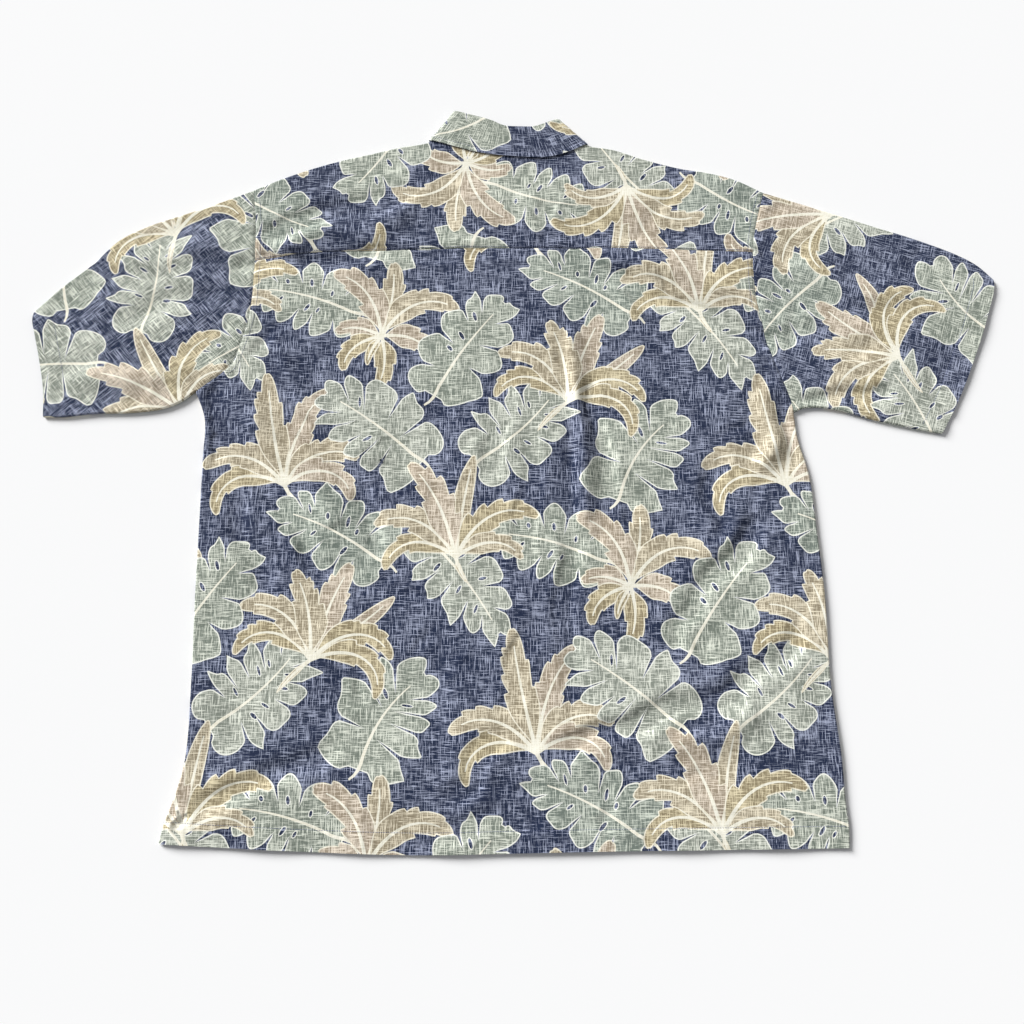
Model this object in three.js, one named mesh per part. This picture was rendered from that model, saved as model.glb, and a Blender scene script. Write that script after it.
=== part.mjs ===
// A wide short-sleeved aloha shirt, buttoned up and laid flat on its front with the back up.
// Millimetres, +Z up. X runs to the wearer's right, Y towards the collar, Z = 0 is the surface it lies on.
// From the surface up lie the buttons, the collar leaves, the left front, the right front, the back
// with the yoke, and the collar fall.
import * as THREE from "three";

// Driving sizes of the cloth and of the way the layers lie.
const WALL = 1.2;
const SEAM_GAP = 0.3;
const LAYER = WALL + SEAM_GAP;
const BACK_TOP = 4.6;
const OPEN_EDGE_DROP = 1.0;
const OPEN_EDGE_REACH = 52;
const RIM_CUTS = [0, 0.7, 2.3];
const NECK_CUTS = [0, 5, 12];
const MIDDLE = { x: 4, y: 67.5 };

// The button band runs down the middle of the fronts, the left front over the right as worn.
const BAND = { x: -8, halfWidth: 15, neckY: 394, hemPoint: 3, cuts: [0, 12, 24, 36, 50] };
const BUTTON = { radius: 5.5, thick: 2, rim: 1.2, dish: 0.5, count: 7, firstY: 335, pitch: 95, sides: 12 };
const BUTTON_LIFT = BUTTON.thick + SEAM_GAP;

// How far a layer stays lifted round what lies under it: the flat part first, and then the slope.
// The back bridges wider than the fronts, which lie close on the collar leaves and the buttons.
const FRONT_REACH = {
  leaf: { flat: 30, slope: 25 },
  band: { flat: 19, slope: 28 },
  bandEnd: { flat: 33, slope: 28 },
  overlap: { flat: 22, slope: 22 },
};
const BACK_REACH = {
  leaf: { flat: 58, slope: 30 },
  band: { flat: 50, slope: 45 },
  bandEnd: { flat: 46, slope: 25 },
  overlap: { flat: 48, slope: 45 },
};
const NECK_REACH = { flat: 8, slope: 21 };
const FOLD_FADE = 0.8;
const EDGE_CALM = 22;
const COLLAR_CALM = 4;

// Sections of the outline, a row for each place that a maker would measure, left and right end as laid.
const BODY_SECTIONS = [
  { at: "underarm", left: [-362, 140], right: [321, 115] },
  { at: "below the armhole", left: [-350, 108], right: [324, 84] },
  { at: "chest", left: [-349, 60], right: [334, 42] },
  { at: "ribs", left: [-348, -20], right: [339, -25] },
  { at: "waist", left: [-347, -100], right: [343, -100] },
  { at: "hip", left: [-345, -185], right: [343, -190] },
  { at: "seat", left: [-346, -268], right: [349, -265] },
  { at: "above the hem", left: [-354, -305], right: [350, -310] },
  { at: "hem stitching", left: [-363, -332], right: [352, -336] },
  { at: "hem", left: [-368, -354], right: [351, -358] },
];
const ARMHOLE_SECTIONS = [
  { at: "shoulder tip", left: [-310, 394], right: [301, 391] },
  { at: "yoke armhole", left: [-305, 355], right: [289, 345] },
  { at: "yoke seam", left: [-304, 304], right: [284, 313] },
  { at: "back armhole", left: [-304, 258], right: [285, 260] },
  { at: "armhole curve", left: [-311, 211], right: [296, 198] },
  { at: "armhole scoop", left: [-326, 171], right: [309, 158] },
  { at: "armhole foot", left: [-345, 154], right: [318, 132] },
  { at: "underarm", left: [-362, 140], right: [321, 115] },
];
const SHOULDER_SECTIONS = [
  { at: "shoulder tip", left: [-310, 394], right: [301, 391] },
  { at: "outer shoulder", left: [-277, 409], right: [268, 408] },
  { at: "mid shoulder", left: [-240, 423], right: [237, 417] },
  { at: "mid shoulder", left: [-208, 433], right: [203, 423] },
  { at: "inner shoulder", left: [-172, 442], right: [160, 435] },
  { at: "inner shoulder", left: [-136, 451], right: [122, 448] },
  { at: "collar foot", left: [-112, 455], right: [98, 452] },
  { at: "under the fall", left: [-101, 458], right: [91, 454.5] },
  { at: "neck point", left: [-98.5, 461], right: [88, 457.5] },
];
const SLEEVE_SECTIONS = {
  top: [
    { at: "shoulder tip", left: [-310, 394], right: [301, 391] },
    { at: "crown", left: [-354, 376], right: [346, 376] },
    { at: "crown", left: [-392, 362], right: [398, 358] },
    { at: "outer arm", left: [-430, 348], right: [435, 345] },
    { at: "outer arm", left: [-465, 329], right: [473, 332] },
    { at: "outer arm", left: [-494, 298], right: [522, 312] },
    { at: "near the cuff", left: [-524, 272], right: [548, 297] },
    { at: "cuff", left: [-557, 239], right: [566, 279] },
  ],
  under: [
    { at: "underarm", left: [-362, 140], right: [321, 115] },
    { at: "underarm", left: [-378, 128], right: [332, 120] },
    { at: "inner arm", left: [-397, 120], right: [350, 121] },
    { at: "inner arm", left: [-432, 115], right: [376, 117] },
    { at: "inner arm", left: [-473, 114], right: [410, 107] },
    { at: "near the cuff", left: [-510, 110], right: [462, 95] },
    { at: "cuff", left: [-534, 110], right: [488, 90] },
  ],
  cuff: [
    { at: "top", left: [-557, 239], right: [566, 279] },
    { at: "turn", left: [-558, 229], right: [565, 267] },
    { at: "upper", left: [-553, 208], right: [555, 236] },
    { at: "middle", left: [-545, 178], right: [538, 191] },
    { at: "lower", left: [-537, 143], right: [512, 133] },
    { at: "under", left: [-534, 110], right: [488, 90] },
  ],
};
const HEM_POINTS = [
  { at: "left corner", point: [-368, -354] },
  { at: "left", point: [-230, -361] },
  { at: "left of the band", point: [-100, -365] },
  { at: "band", point: [-8, -363.5] },
  { at: "right of the band", point: [90, -361.5] },
  { at: "right", point: [200, -360] },
  { at: "right corner", point: [351, -358] },
];
const YOKE_SEAM_POINTS = [
  { at: "left armhole", point: [-304, 304] },
  { at: "left sag", point: [-278, 308] },
  { at: "left", point: [-200, 315] },
  { at: "middle", point: [-10, 318] },
  { at: "right", point: [200, 317] },
  { at: "right armhole", point: [284, 313] },
];

// The collar from its left front end, round the neck, to its right front end.
// fold is its top edge, edge the free edge of the fall, neck the seam of the stand with the body.
const COLLAR_STATIONS = [
  { lies: "under", fold: [-11, 420], edge: [-72, 350], neck: [-10, 394.5] },
  { lies: "under", fold: [-22, 428], edge: [-84, 374], neck: [-34, 398] },
  { lies: "under", fold: [-37, 442], edge: [-94, 400], neck: [-58, 409] },
  { lies: "under", fold: [-52, 463], edge: [-100, 426], neck: [-80, 428] },
  { lies: "under", fold: [-64, 485], edge: [-102, 445], neck: [-93, 447] },
  { lies: "turn", fold: [-71, 501], edge: [-101, 461], neck: [-99.5, 463] },
  { lies: "over", fold: [-48, 494.5], edge: [-69, 451.5], neck: [-72, 458] },
  { lies: "over", fold: [-25, 487.5], edge: [-40, 443.5], neck: [-42, 453.5] },
  { lies: "over", fold: [-10, 480.5], edge: [-12, 439.5], neck: [-12, 450.5] },
  { lies: "over", fold: [10, 479], edge: [14, 437.5], neck: [14, 450] },
  { lies: "over", fold: [28, 479.5], edge: [41, 437], neck: [40, 451] },
  { lies: "over", fold: [43, 485], edge: [66, 443.5], neck: [65, 454.5] },
  { lies: "turn", fold: [57, 490], edge: [92, 456], neck: [88.5, 459.4] },
  { lies: "under", fold: [49, 475], edge: [91, 441], neck: [81, 444] },
  { lies: "under", fold: [36, 455], edge: [86, 420], neck: [66, 425] },
  { lies: "under", fold: [21, 438], edge: [78, 396], neck: [43, 408] },
  { lies: "under", fold: [7, 427], edge: [69, 372], neck: [19, 398] },
  { lies: "under", fold: [-3, 420], edge: [58, 348], neck: [-5, 394.5] },
];
const COLLAR = { turnCuts: 4, across: 3, standInset: 0.6, steps: 2 };

// The largest folds of the laid back and sleeves: the line of each, its half width and its height,
// which is below zero for a trough.
const FOLDS = [
  { where: "under the yoke seam", from: [-325, 296], to: [-150, 311], width: 16, height: -1.6 },
  { where: "under the yoke seam", from: [-170, 311], to: [30, 312], width: 14, height: -1.3 },
  { where: "right of the yoke seam", from: [70, 308], to: [160, 258], width: 20, height: -1.8 },
  { where: "right of the yoke seam", from: [140, 266], to: [300, 204], width: 17, height: -1.6 },
  { where: "above that trough", from: [110, 318], to: [250, 262], width: 24, height: 1.6 },
  { where: "left of the yoke", from: [-290, 338], to: [-115, 394], width: 18, height: -1.7 },
  { where: "left of the yoke", from: [-270, 318], to: [-120, 362], width: 20, height: 1.4 },
  { where: "middle of the yoke", from: [42, 385], to: [42, 328], width: 15, height: -1.6 },
  { where: "left underarm", from: [-340, 150], to: [-330, 60], width: 22, height: -1.8 },
  { where: "left underarm fan", from: [-325, 182], to: [-165, 24], width: 16, height: -1.7 },
  { where: "left underarm fan", from: [-165, 24], to: [-146, -45], width: 16, height: -1.5 },
  { where: "left underarm fan", from: [-334, 88], to: [-250, 0], width: 16, height: -1.7 },
  { where: "left underarm fan", from: [-250, 0], to: [-210, -72], width: 16, height: -1.4 },
  { where: "left underarm fan", from: [-255, 172], to: [-118, 50], width: 17, height: -1.4 },
  { where: "left underarm fan", from: [-312, 10], to: [-268, -86], width: 18, height: -1.4 },
  { where: "left underarm fan", from: [-300, 110], to: [-190, -10], width: 20, height: 1.6 },
  { where: "left underarm fan", from: [-250, 130], to: [-150, 60], width: 20, height: 1.2 },
  { where: "middle of the back", from: [0, 190], to: [-22, 45], width: 15, height: -1.6 },
  { where: "middle of the back", from: [24, 90], to: [16, -70], width: 15, height: -1.5 },
  { where: "middle of the back", from: [60, -20], to: [58, -175], width: 16, height: -1.3 },
  { where: "middle of the back", from: [18, -130], to: [-8, -215], width: 16, height: -1.4 },
  { where: "right of the middle", from: [86, 150], to: [112, 25], width: 15, height: -1.7 },
  { where: "right of the middle", from: [112, 25], to: [140, -8], width: 15, height: -1.3 },
  { where: "right of the middle", from: [70, 215], to: [84, -10], width: 16, height: 1.7 },
  { where: "right side", from: [276, -14], to: [200, -98], width: 20, height: -1.8 },
  { where: "right side", from: [200, -98], to: [174, -146], width: 18, height: -1.4 },
  { where: "right side", from: [220, 55], to: [232, -24], width: 18, height: -1.4 },
  { where: "right side", from: [294, 150], to: [288, 50], width: 20, height: 1.6 },
  { where: "right underarm", from: [318, 118], to: [322, 60], width: 22, height: -1.8 },
  { where: "lower right", from: [44, -256], to: [140, -226], width: 16, height: -1.4 },
  { where: "lower right", from: [130, -230], to: [240, -198], width: 18, height: -1.8 },
  { where: "lower right", from: [236, -200], to: [314, -143], width: 18, height: -1.6 },
  { where: "lower right", from: [150, -258], to: [270, -226], width: 22, height: 1.4 },
  { where: "lower middle", from: [-12, -240], to: [-62, -312], width: 18, height: -1.5 },
  { where: "hem", from: [-84, -346], to: [24, -328], width: 16, height: -1.2 },
  { where: "lower left", from: [-328, -316], to: [-190, -258], width: 18, height: -1.5 },
  { where: "right sleeve", from: [332, 130], to: [432, 141], width: 16, height: -1.5 },
  { where: "right sleeve", from: [320, 215], to: [420, 190], width: 20, height: -1.2 },
  { where: "right sleeve", from: [330, 290], to: [460, 250], width: 24, height: 1.2 },
  { where: "left sleeve", from: [-350, 260], to: [-470, 230], width: 22, height: -1.2 },
  { where: "left sleeve", from: [-350, 320], to: [-450, 300], width: 22, height: 1.2 },
  { where: "left sleeve", from: [-370, 165], to: [-500, 150], width: 22, height: 1.3 },
];

// Number of cells along each kind of line.
const CELLS = {
  side: 18,
  sideUnder: 9,
  armholeYoke: 4,
  armholeBack: 6,
  across: 26,
  shoulder: 8,
  sleeve: 11,
};

// Materials, one for each finish.
const cloth = new THREE.MeshStandardMaterial({ color: 0x4a5480, roughness: 0.92, metalness: 0 });
const buttonPlastic = new THREE.MeshStandardMaterial({ color: 0x4b4236, roughness: 0.35, metalness: 0 });

// Small plan helpers: points are [x, y].
const add = (a, b) => [a[0] + b[0], a[1] + b[1]];
const subtract = (a, b) => [a[0] - b[0], a[1] - b[1]];
const scale = (a, k) => [a[0] * k, a[1] * k];
const mix = (a, b, t) => [a[0] + (b[0] - a[0]) * t, a[1] + (b[1] - a[1]) * t];
const length = (a) => Math.hypot(a[0], a[1]);
const unit = (a) => scale(a, 1 / length(a));

function smooth(t) {
  const k = Math.min(1, Math.max(0, t));
  return k * k * (3 - 2 * k);
}

// One inside the flat reach of something, falling softly to zero over the slope.
const plateau = (distance, reach) => 1 - smooth((distance - reach.flat) / reach.slope);

function distanceToLine(point, line) {
  let best = Infinity;
  for (let i = 0; i + 1 < line.length; i++) {
    const along = subtract(line[i + 1], line[i]);
    const away = subtract(point, line[i]);
    const dot = along[0] * away[0] + along[1] * away[1];
    const t = Math.min(1, Math.max(0, dot / (along[0] ** 2 + along[1] ** 2)));
    best = Math.min(best, length(subtract(away, scale(along, t))));
  }
  return best;
}

function isInside(point, ring) {
  let inside = false;
  ring.forEach((a, i) => {
    const b = ring[(i + 1) % ring.length];
    const crosses = a[1] > point[1] !== b[1] > point[1];
    const x = a[0] + ((point[1] - a[1]) / (b[1] - a[1])) * (b[0] - a[0]);
    if (crosses && point[0] < x) inside = !inside;
  });
  return inside;
}

const distanceToRing = (point, ring) =>
  isInside(point, ring) ? 0 : distanceToLine(point, [...ring, ring[0]]);

// A smooth curve through the points of a table, cut at even steps, with extra cuts at its ends, which
// are given in millimetres from the end.
function cutLine(points, cells, startCuts = [0], endCuts = [0]) {
  const curve = new THREE.CatmullRomCurve3(
    points.map(([x, y]) => new THREE.Vector3(x, y, 0)),
    false,
    "centripetal",
  );
  const total = curve.getLength();
  const first = startCuts[startCuts.length - 1];
  const last = endCuts[endCuts.length - 1];
  const marks = startCuts.slice(0, -1);
  for (let i = 0; i <= cells; i++) {
    marks.push(first + ((total - first - last) * i) / cells);
  }
  endCuts.slice(0, -1).reverse().forEach((cut) => marks.push(total - cut));
  return marks.map((mark) => {
    const p = curve.getPointAt(Math.min(1, mark / total));
    return [p.x, p.y];
  });
}

const column = (rows, side) => rows.map((row) => row[side]);
const shift = (line, by) => line.map((point) => add(point, by));

// A grid over four border lines: under and over have the same count, and so have left and right.
function fillPatch({ left, right, under, over }) {
  const share = (a, b) => {
    const steps = a.map((_, i) =>
      i ? length(subtract(a[i], a[i - 1])) + length(subtract(b[i], b[i - 1])) : 0,
    );
    const sums = steps.map((_, i) => steps.slice(0, i + 1).reduce((x, y) => x + y, 0));
    return sums.map((sum) => sum / sums[sums.length - 1]);
  };
  const u = share(under, over);
  const v = share(left, right);
  const n = under.length - 1;
  const m = left.length - 1;
  return u.map((s, i) =>
    v.map((t, j) => {
      const ruled = add(mix(under[i], over[i], t), mix(left[j], right[j], s));
      const corners = mix(mix(under[0], under[n], s), mix(left[m], right[m], s), t);
      return subtract(ruled, corners);
    }),
  );
}

// Collar lines, with extra stations between the rows so that every curve stays soft.
function collarLine(name) {
  const points = COLLAR_STATIONS.map((row) => new THREE.Vector3(row[name][0], row[name][1], 0));
  const parts = [];
  const turns = COLLAR_STATIONS.flatMap((row, i) => (row.lies === "turn" ? [i] : []));
  const ends = [0, ...turns, COLLAR_STATIONS.length - 1];
  for (let k = 0; k + 1 < ends.length; k++) {
    const stretch = points.slice(ends[k], ends[k + 1] + 1);
    const curve = new THREE.CatmullRomCurve3(stretch, false, "centripetal");
    const cells = (stretch.length - 1) * COLLAR.steps;
    parts.push(curve.getPoints(cells).map((p) => [p.x, p.y]));
  }
  return parts;
}

const foldParts = collarLine("fold");
const edgeParts = collarLine("edge");
const neckParts = collarLine("neck");
const leafLeft = [...foldParts[0], ...[...edgeParts[0]].reverse()];
const leafRight = [...foldParts[2], ...[...edgeParts[2]].reverse()];
const fallTop = [...foldParts[1], ...[...edgeParts[1]].reverse()];

// How far the fronts are lifted off the surface by the collar leaves and by the buttons under the band.
const lastButtonY = BUTTON.firstY - BUTTON.pitch * (BUTTON.count - 1);

function frontLift(x, y, reach = FRONT_REACH) {
  const leaf = Math.min(distanceToRing([x, y], leafLeft), distanceToRing([x, y], leafRight));
  const pastButtons = Math.max(y - BUTTON.firstY, lastButtonY - y, 0);
  const band = plateau(Math.abs(x - BAND.x), reach.band) * plateau(pastButtons, reach.bandEnd);
  return Math.max(LAYER * plateau(leaf, reach.leaf), BUTTON_LIFT * band);
}

// The right front climbs over the left one along the band.
const overlapLift = (x, reach = FRONT_REACH) => LAYER * plateau(Math.abs(x - BAND.x), reach.overlap);

// A bell across each fold makes it soft, and it fades over a short way at both of its ends.
function foldHeight(x, y) {
  let sum = 0;
  for (const fold of FOLDS) {
    const along = subtract(fold.to, fold.from);
    const reach = length(along);
    const way = unit(along);
    const away = subtract([x, y], fold.from);
    const s = (away[0] * way[0] + away[1] * way[1]) / reach;
    const across = away[0] * way[1] - away[1] * way[0];
    const over = (fold.width / reach) * FOLD_FADE;
    const fade = smooth((s + over) / (2 * over)) * smooth((1 + over - s) / (2 * over));
    sum += fold.height * fade * Math.exp(-((across / fold.width) ** 2));
  }
  return sum;
}

const hemLine = cutLine(HEM_POINTS.map((row) => row.point), CELLS.across);
const cuffLines = ["left", "right"].map((side) =>
  cutLine(column(SLEEVE_SECTIONS.cuff, side), CELLS.sleeve),
);

const foldedEdges = ["left", "right"].flatMap((side) => [
  cutLine(column(BODY_SECTIONS, side), CELLS.side),
  cutLine(column(SHOULDER_SECTIONS, side), CELLS.shoulder),
  cutLine(column(SLEEVE_SECTIONS.top, side), CELLS.sleeve),
  cutLine(column(SLEEVE_SECTIONS.under, side), CELLS.sleeve),
]);
const nearest = (point, lines) => Math.min(...lines.map((line) => distanceToLine(point, line)));

// Height of the upper face of the back, the yoke and the sleeves' upper layers. It drops a little to
// the open edges, its folds die out at the folded edges and under the collar, and it clears what is below.
function backTop(x, y) {
  const point = [x, y];
  const open = nearest(point, [hemLine, ...cuffLines]);
  const settled = OPEN_EDGE_DROP * Math.max(0, 1 - open / OPEN_EDGE_REACH);
  const collarCalm = smooth((distanceToRing(point, fallTop) - COLLAR_CALM) / EDGE_CALM);
  const calm = collarCalm * smooth(nearest(point, foldedEdges) / EDGE_CALM);
  const neckFade = plateau(y - BAND.neckY, NECK_REACH);
  const climb = overlapLift(x, BACK_REACH) * neckFade;
  const pile = frontLift(x, y, BACK_REACH) + climb + LAYER + WALL;
  const base = Math.max(BACK_TOP - settled, pile);
  return Math.max(base + calm * foldHeight(x, y), pile);
}

// A closed shell from a grid of outer points and the matching grid of inner points.
function makeShell(name, outer, inner, { closedAround = false, material = cloth } = {}) {
  const rows = outer.length;
  const across = outer[0].length;
  const positions = [...outer.flat(), ...inner.flat()].flat();
  const out = (i, j) => i * across + (j % across);
  const inn = (i, j) => rows * across + out(i, j);
  const index = [];
  const quad = (a, b, c, d) => index.push(a, b, c, a, c, d);
  const cells = closedAround ? across : across - 1;
  for (let i = 0; i + 1 < rows; i++) {
    for (let j = 0; j < cells; j++) {
      quad(out(i, j), out(i + 1, j), out(i + 1, j + 1), out(i, j + 1));
      quad(inn(i, j), inn(i, j + 1), inn(i + 1, j + 1), inn(i + 1, j));
    }
    if (!closedAround) {
      quad(out(i, 0), inn(i, 0), inn(i + 1, 0), out(i + 1, 0));
      quad(out(i, cells), out(i + 1, cells), inn(i + 1, cells), inn(i, cells));
    }
  }
  for (let j = 0; j < cells; j++) {
    quad(out(0, j), out(0, j + 1), inn(0, j + 1), inn(0, j));
    const end = rows - 1;
    quad(out(end, j), inn(end, j), inn(end, j + 1), out(end, j + 1));
  }
  const vertex = (i) => new THREE.Vector3().fromArray(positions, 3 * i);
  let volume = 0;
  for (let i = 0; i < index.length; i += 3) {
    volume += vertex(index[i]).cross(vertex(index[i + 1])).dot(vertex(index[i + 2]));
  }
  if (volume < 0) index.reverse();
  const geometry = new THREE.BufferGeometry();
  geometry.setAttribute("position", new THREE.Float32BufferAttribute(positions, 3));
  geometry.setIndex(index);
  geometry.computeVertexNormals();
  const mesh = new THREE.Mesh(geometry, material);
  mesh.name = name;
  return mesh;
}

// One layer of cloth over a plan grid. It turns down, or up, round the folded edges that rolls lists.
// face is 1 for a layer that faces up and -1 for one that faces the surface, and lift raises a lower layer.
function layCloth(grid, rolls, face, { gap = SEAM_GAP, lift = () => 0 } = {}) {
  const steps = { left: [1, 0], right: [-1, 0], over: [0, -1] };
  const outer = [];
  const inner = [];
  grid.forEach((line, i) => {
    outer.push([]);
    inner.push([]);
    line.forEach((point, j) => {
      const [x, y] = point;
      const top = backTop(x, y);
      const floor = frontLift(x, y);
      const centre = (top + floor) / 2 + (face * gap) / 2;
      const radius = (top - floor) / 2 - gap / 2;
      let turn = 0;
      let inward = [0, 0];
      for (const { side, line: fold } of rolls) {
        const share = 1 - distanceToLine(point, fold) / radius;
        const [di, dj] = steps[side];
        const next = grid[i + di]?.[j + dj];
        if (share > turn && next) {
          turn = share;
          inward = unit(subtract(next, point));
        }
      }
      const rise = Math.sqrt(1 - turn * turn);
      const raised = face < 0 ? lift(x) : 0;
      outer[i].push([x, y, centre + face * radius * rise + raised]);
      inner[i].push([
        x + inward[0] * WALL * turn,
        y + inward[1] * WALL * turn,
        centre + face * (radius - WALL) * rise + raised,
      ]);
    });
  });
  return { outer, inner };
}

function makePanel(name, grid, rolls, face, options) {
  const { outer, inner } = layCloth(grid, rolls, face, options);
  return makeShell(name, outer, inner);
}

// Border lines that neighbouring pieces share, each piece keeping half of the seam's gap.
const half = SEAM_GAP / 2;
const inwards = { left: [half, 0], right: [-half, 0] };
const outwards = { left: [-half, 0], right: [half, 0] };
const yokeRow = ARMHOLE_SECTIONS.findIndex((row) => row.at === "yoke seam");
const armholeAbove = {};
const armholeBelow = {};
const armhole = {};
for (const side of ["left", "right"]) {
  const points = column(ARMHOLE_SECTIONS, side);
  armholeAbove[side] = cutLine(points.slice(0, yokeRow + 1), CELLS.armholeYoke, RIM_CUTS);
  armholeBelow[side] = cutLine(points.slice(yokeRow), CELLS.armholeBack, [0], RIM_CUTS);
  armhole[side] = [...armholeAbove[side], ...armholeBelow[side].slice(1)];
}

const shoulderLine = (side) =>
  cutLine(column(SHOULDER_SECTIONS, side), CELLS.shoulder, [0], NECK_CUTS);

function makeBack() {
  const sides = {};
  const borders = {};
  for (const side of ["left", "right"]) {
    sides[side] = cutLine(column(BODY_SECTIONS, side), CELLS.side).reverse();
    const above = shift([...armholeBelow[side]].reverse().slice(1), inwards[side]);
    borders[side] = [...sides[side], ...above];
  }
  const under = cutLine(HEM_POINTS.map((row) => row.point), CELLS.across, RIM_CUTS, RIM_CUTS);
  const seam = cutLine(YOKE_SEAM_POINTS.map((row) => row.point), CELLS.across, RIM_CUTS, RIM_CUTS);
  const over = shift(seam, [0, -half]);
  pinCorners(borders, under, over);
  const rolls = ["left", "right"].map((side) => ({ side, line: sides[side] }));
  return makePanel("back", fillPatch({ ...borders, under, over }), rolls, 1);
}

// Neighbouring border lines of a patch have to end in the same corner points.
function pinCorners(borders, under, over) {
  const top = borders.left.length - 1;
  const end = under.length - 1;
  under[0] = borders.left[0];
  under[end] = borders.right[0];
  over[0] = borders.left[top];
  over[end] = borders.right[top];
}

function makeYoke() {
  const borders = {};
  const shoulders = {};
  for (const side of ["left", "right"]) {
    borders[side] = shift([...armholeAbove[side]].reverse(), inwards[side]);
    shoulders[side] = shoulderLine(side);
  }
  const neck = neckParts[1].slice(1, -1);
  const over = [...shoulders.left, ...neck, ...[...shoulders.right].reverse()];
  const seam = cutLine(YOKE_SEAM_POINTS.map((row) => row.point), over.length - 1);
  const under = shift(seam, [0, half]);
  pinCorners(borders, under, over);
  const rolls = ["left", "right"].map((side) => ({ side: "over", line: shoulders[side] }));
  return makePanel("yoke", fillPatch({ ...borders, under, over }), rolls, 1);
}

// A front from its side seam to the edge of its band. Its grid runs from the side to the middle, so
// its two side borders are the side seam with the armhole, and the band's edge.
function makeFront(side) {
  const isLeft = side === "left";
  const bandEdge = BAND.x + (isLeft ? BAND.halfWidth : -BAND.halfWidth);
  const sideSeam = cutLine(column(BODY_SECTIONS, side), CELLS.sideUnder).reverse();
  const armholeUp = [...armhole[side]].reverse().slice(1);
  const outerBorder = [...sideSeam, ...shift(armholeUp, inwards[side])];
  const shoulder = shoulderLine(side);
  const neck = isLeft ? [...neckParts[0]].reverse() : [...neckParts[2]];
  const neckCorner = [bandEdge, BAND.neckY];
  const over = [...shoulder, ...neck.slice(1), neckCorner];
  const hem = HEM_POINTS.map((row) => row.point);
  const ownHem = isLeft ? hem.slice(0, BAND.hemPoint) : hem.slice(BAND.hemPoint + 1).reverse();
  const hemCorner = [bandEdge, hem[BAND.hemPoint][1]];
  const cells = over.length + 1 - RIM_CUTS.length - BAND.cuts.length;
  const under = cutLine([...ownHem, hemCorner], cells, RIM_CUTS, BAND.cuts);
  const low = outerBorder[0][1];
  const high = outerBorder[outerBorder.length - 1][1];
  const middle = outerBorder.map((point) => {
    const share = (point[1] - low) / (high - low);
    return mix(hemCorner, neckCorner, share);
  });
  const borders = { left: outerBorder, right: middle };
  pinCorners(borders, under, over);
  const grid = fillPatch({ ...borders, under, over });
  const rolls = [
    { side: "left", line: sideSeam },
    { side: "over", line: shoulder },
  ];
  const lift = side === "right" ? overlapLift : () => 0;
  return makePanel(`front_${side}`, grid, rolls, -1, { lift });
}

// A sleeve is a tube folded flat: an upper and a lower layer that meet round its two folded edges.
function makeSleeve(side) {
  const top = cutLine(column(SLEEVE_SECTIONS.top, side), CELLS.sleeve);
  const under = cutLine(column(SLEEVE_SECTIONS.under, side), CELLS.sleeve);
  const inner = shift(armhole[side], outwards[side]);
  const cells = CELLS.armholeYoke + CELLS.armholeBack;
  const cuff = cutLine(column(SLEEVE_SECTIONS.cuff, side), cells, RIM_CUTS, RIM_CUTS);
  const borders = { left: inner, right: cuff };
  pinCorners(borders, top, under);
  const grid = fillPatch({ ...borders, under: top, over: under });
  const layers = [1, -1].map((face) => layTube(grid, [top, under], face));
  const ring = (kind) =>
    layers[0][kind].map((line, i) => [...line, ...layers[1][kind][i].slice(1, -1).reverse()]);
  return makeShell(`sleeve_${side}`, ring("outer"), ring("inner"), { closedAround: true });
}

// Like a layer of a panel, but both of its folded edges are closed, so no seam gap is left there.
function layTube(grid, foldedEdgePair, face) {
  const last = grid[0].length - 1;
  const outer = grid.map(() => []);
  const inner = grid.map(() => []);
  grid.forEach((line, i) =>
    line.forEach((point, j) => {
      const top = backTop(...point);
      const radius = top / 2;
      const nearStart = j < last / 2;
      const away = distanceToLine(point, foldedEdgePair[nearStart ? 0 : 1]);
      const onEdge = j === 0 || j === last;
      const turn = onEdge ? 1 : Math.max(0, 1 - away / radius);
      const inward = unit(subtract(line[nearStart ? j + 1 : j - 1], point));
      const rise = Math.sqrt(1 - turn * turn);
      const step = scale(inward, WALL * turn);
      outer[i].push([point[0], point[1], radius + face * radius * rise]);
      inner[i].push([point[0] + step[0], point[1] + step[1], radius + face * (radius - WALL) * rise]);
    }),
  );
  return { outer, inner };
}

// A collar strip starts under the left front, turns up round the side of the neck, lies over the
// back and turns down again. from and to are its long edges, bottom and top its outer heights, and
// inset is how far it turns inside the outermost strip.
function makeCollarPiece(name, from, to, bottom, top, inset) {
  const centre = (top + bottom) / 2;
  const radius = (top - bottom) / 2;
  const outer = [];
  const inner = [];
  const addStation = (a, b, angle, outward) => {
    const lie = (reach) =>
      Array.from({ length: COLLAR.across + 1 }, (_, k) => {
        const base = mix(a, b, k / COLLAR.across);
        const moved = add(base, scale(outward, reach * Math.cos(angle) - radius - inset));
        return [moved[0], moved[1], centre + reach * Math.sin(angle)];
      });
    outer.push(lie(radius));
    inner.push(lie(radius - WALL));
  };
  const flat = (part, angle, skipStart, skipEnd) =>
    from[part].forEach((a, i) => {
      const isTurn = (skipStart && i === 0) || (skipEnd && i === from[part].length - 1);
      if (!isTurn) addStation(a, to[part][i], angle, [0, 0]);
    });
  const turn = (part, sign, startAngle) => {
    const a = from[part][from[part].length - 1];
    const b = to[part][to[part].length - 1];
    const along = unit(subtract(a, b));
    const outward = [-along[1] * sign, along[0] * sign];
    for (let k = 0; k <= COLLAR.turnCuts; k++) {
      const angle = startAngle * (1 - (2 * k) / COLLAR.turnCuts);
      addStation(a, b, angle, outward);
    }
  };
  const up = Math.PI / 2;
  flat(0, -up, false, true);
  turn(0, 1, -up);
  flat(1, up, true, true);
  turn(1, -1, up);
  flat(2, -up, true, false);
  return makeShell(name, outer, inner);
}

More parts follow.
